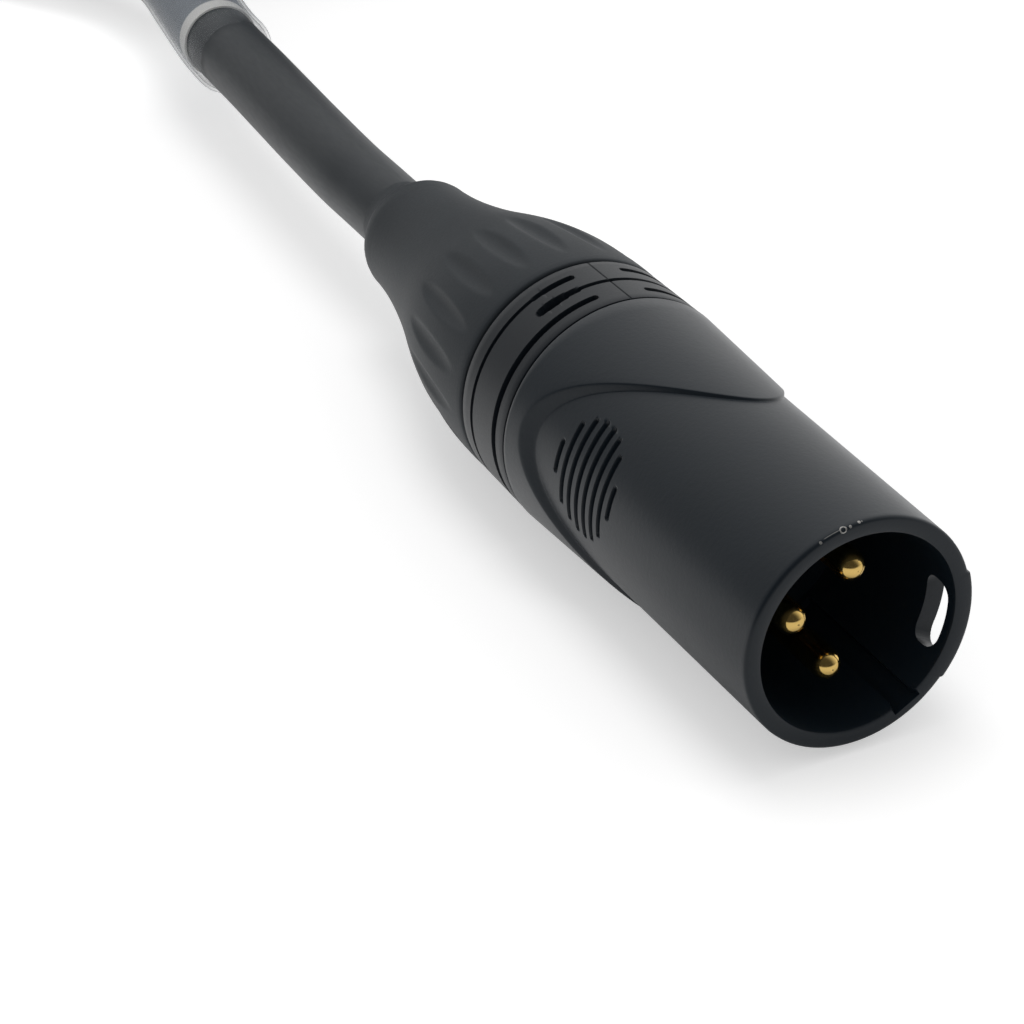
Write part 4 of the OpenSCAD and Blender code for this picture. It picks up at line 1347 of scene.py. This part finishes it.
# The finish of each piece that keeps its own shape: pieces that both plugs have, without
# the plug's name, and single ones
PAIR_FINISHES = {"insert": "moulded_nylon", "chuck": "pale_nylon", "gland_nut": "moulded_nylon",
                 "cable_end": "boot_rubber", "wire_hot": "red_insulation",
                 "wire_cold": "white_insulation", "wire_screen": "copper_strands"}
FINISHES = {"female_latch": "lacquer", "female_latch_pin": "sprung_steel",
            "female_latch_spring": "sprung_steel",
            **{f"{contact}_{i}": "gold_plate" for contact in ("pin", "socket") for i in (1, 2, 3)},
            **{f"{kind}_{node}": finish for kind in ("male", "female")
               for node, finish in PAIR_FINISHES.items()}}


class LEAD_OT_dress(bpy.types.Operator):
    """Give the pieces that keep their own shape their finish"""
    bl_idname = "lead.dress"
    bl_label = "Dress the small pieces"

    def execute(self, context):
        for node, finish in FINISHES.items():
            dress(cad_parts[node], finish)
        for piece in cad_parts.values():
            if piece.hide_render:
                dress(piece, "moulded_nylon")
        return {"FINISHED"}


class LEAD_OT_declare(bpy.types.Operator):
    """Work out the cable's centre line in metres; the line is not used"""
    bl_idname = "lead.declare"
    bl_label = "Declare the cable"

    def execute(self, context):
        settings = context.scene.lead_cable
        line = route_of(settings).whole() * MM
        return {"FINISHED"}


WHITE = (1.0, 1.0, 1.0, 1.0)
BLACK = (0.0, 0.0, 0.0, 1.0)
FLOOR_GREY = (0.80, 0.80, 0.80, 1.0)
# Where the floor glows in reflections, in metres: it grows from the plug's rim back, is
# dimmer on the left and fades behind the plug
GLOW_START, GLOW_RIGHT, GLOW_FADE = (-0.04, 0.02), (-0.05, -0.01), (0.055, 0.085)
# Painted light: a brighter patch of floor behind the label, which washes out the cable's shadow
# there: its near, far and right edges
WASH_NEAR, WASH_FAR, WASH_RIGHT = (0.082, 0.1), (0.12, 0.16), (-0.002, 0.012)
# The direction in which reflections see the surround white, and the cosines of the angles
# from it between which they see it go dark
BRIGHT_SIDE = (0.7, 0.7, 0.1)
SHADE = (-0.45, 0.85)
LAMP_PLACE = (0.0, 0.06, 0.5)
LAMP_SIZE = 0.26
LAMP_AIM = Vector((0.0, 0.02, 0.01))


class LEAD_OT_stage(bpy.types.Operator):
    """Set the floor, the white surround and the lamp"""
    bl_idname = "lead.stage"
    bl_label = "Stage"

    def execute(self, context):
        stage = context.scene.lead_stage
        self.floor(stage)
        self.surround(stage)
        self.lamp(stage)
        context.scene.view_settings.view_transform = "Standard"
        return {"FINISHED"}

    def floor(self, stage):
        """A pale floor that glows for the camera and, further back, in reflections, with painted
        light behind the label that washes out the cable's shadow.
        """
        deselect()
        bpy.ops.mesh.primitive_plane_add(size=6.0, location=(0, 0, -0.00005))
        floor = bpy.context.object
        floor.name = "floor"
        s = Shader("white_floor")
        x, y = s.part("X"), s.part("Y")
        camera, glossy = (s.value("LightPath", f"Is {ray} Ray") for ray in ("Camera", "Glossy"))
        behind = y.step(*GLOW_START) * (0.5 + 0.5 * x.step(*GLOW_RIGHT))
        behind = behind * (1.0 - 0.6 * y.step(*GLOW_FADE))
        # Painted light: the floor glows brighter behind the label to wash out the cable's shadow
        # there
        shadow_wash = y.step(*WASH_NEAR) * (1.0 - y.step(*WASH_FAR)) * (1.0 - x.step(*WASH_RIGHT))
        glow = s.node("Emission", None, {"Color": WHITE, "Strength": stage.glow + 0.2 * shadow_wash})
        none = s.node("Emission", None, {"Color": BLACK, "Strength": 0.0})
        lit = s.node("MixShader", None, {
            0: (camera + glossy * behind).math("MINIMUM", 1.0), 1: none.outputs[0],
            2: glow.outputs[0]})
        matt = s.node("BsdfDiffuse", None, {"Color": FLOOR_GREY})
        both = s.node("AddShader", None, {0: matt.outputs[0], 1: lit.outputs[0]})
        floor.data.materials.append(s.show(both))

    def surround(self, stage):
        """A surround that is white to the camera, shaded in reflections and dimmer on matt
        surfaces."""
        world = bpy.data.worlds.new("surround")
        bpy.context.scene.world = world
        s = Nodes(world)
        side = s.value("VectorMath", "Value", {"operation": "DOT_PRODUCT"},
                       {0: s.node("TexCoord").outputs["Generated"], 1: BRIGHT_SIDE})
        shaded = s.value("MapRange", "Result", {"interpolation_type": "SMOOTHSTEP"}, {
            "Value": side, "From Min": SHADE[0], "From Max": SHADE[1],
            "To Min": stage.mirrored_front, "To Max": stage.mirrored})
        level = stage.surround
        for ray, strength in (("Camera", 1.0), ("Glossy", shaded), ("Transmission", 1.0)):
            seen = s.value("LightPath", f"Is {ray} Ray")
            level = s.value("Mix", 0, None, {0: seen, 2: level, 3: strength})
        s.show(s.node("Background", None, {"Color": WHITE, "Strength": level}), "OutputWorld")

    def lamp(self, stage):
        """One large soft lamp overhead."""
        deselect()
        bpy.ops.object.light_add(type="AREA", location=LAMP_PLACE)
        lamp = bpy.context.object
        lamp.name = "key_lamp"
        lamp.data.shape = "DISK"
        lamp.data.size = LAMP_SIZE
        lamp.data.energy = stage.key
        lamp.visible_glossy = False
        lamp.rotation_euler = (LAMP_AIM - Vector(LAMP_PLACE)).to_track_quat("-Z", "Y").to_euler()


class LEAD_PT_panel(bpy.types.Panel):
    """Audio lead"""
    bl_idname = "LEAD_PT_panel"
    bl_label = "Audio Lead"
    bl_space_type = "VIEW_3D"
    bl_region_type = "UI"
    bl_category = "Audio Lead"

    def draw(self, context):
        layout = self.layout
        for group in SETTINGS:
            box = layout.box()
            box.label(text=group.replace("lead_", "").capitalize())
            settings = getattr(context.scene, group)
            for name in settings.__annotations__:
                box.prop(settings, name)
        for operator in OPERATORS:
            layout.operator(operator.bl_idname)


SETTINGS = {"lead_plug": PlugSettings, "lead_cable": CableSettings,
            "lead_finish": FinishSettings, "lead_stage": StageSettings}
OPERATORS = (LEAD_OT_camera, LEAD_OT_finishes, LEAD_OT_cable, LEAD_OT_label, LEAD_OT_strap,
             LEAD_OT_shells, LEAD_OT_rings, LEAD_OT_boots, LEAD_OT_dress, LEAD_OT_declare,
             LEAD_OT_stage)


def register():
    for name, group in SETTINGS.items():
        bpy.utils.register_class(group)
        setattr(bpy.types.Scene, name, bpy.props.PointerProperty(type=group))
    for operator in OPERATORS:
        bpy.utils.register_class(operator)
    bpy.utils.register_class(LEAD_PT_panel)


def unregister():
    bpy.utils.unregister_class(LEAD_PT_panel)
    for operator in reversed(OPERATORS):
        bpy.utils.unregister_class(operator)
    for name, group in SETTINGS.items():
        delattr(bpy.types.Scene, name)
        bpy.utils.unregister_class(group)


def main():
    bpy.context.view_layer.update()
    register()
    for operator in OPERATORS:
        group, name = operator.bl_idname.split(".")
        getattr(getattr(bpy.ops, group), name)()
    bpy.context.view_layer.update()


if __name__ == "__main__":
    main()
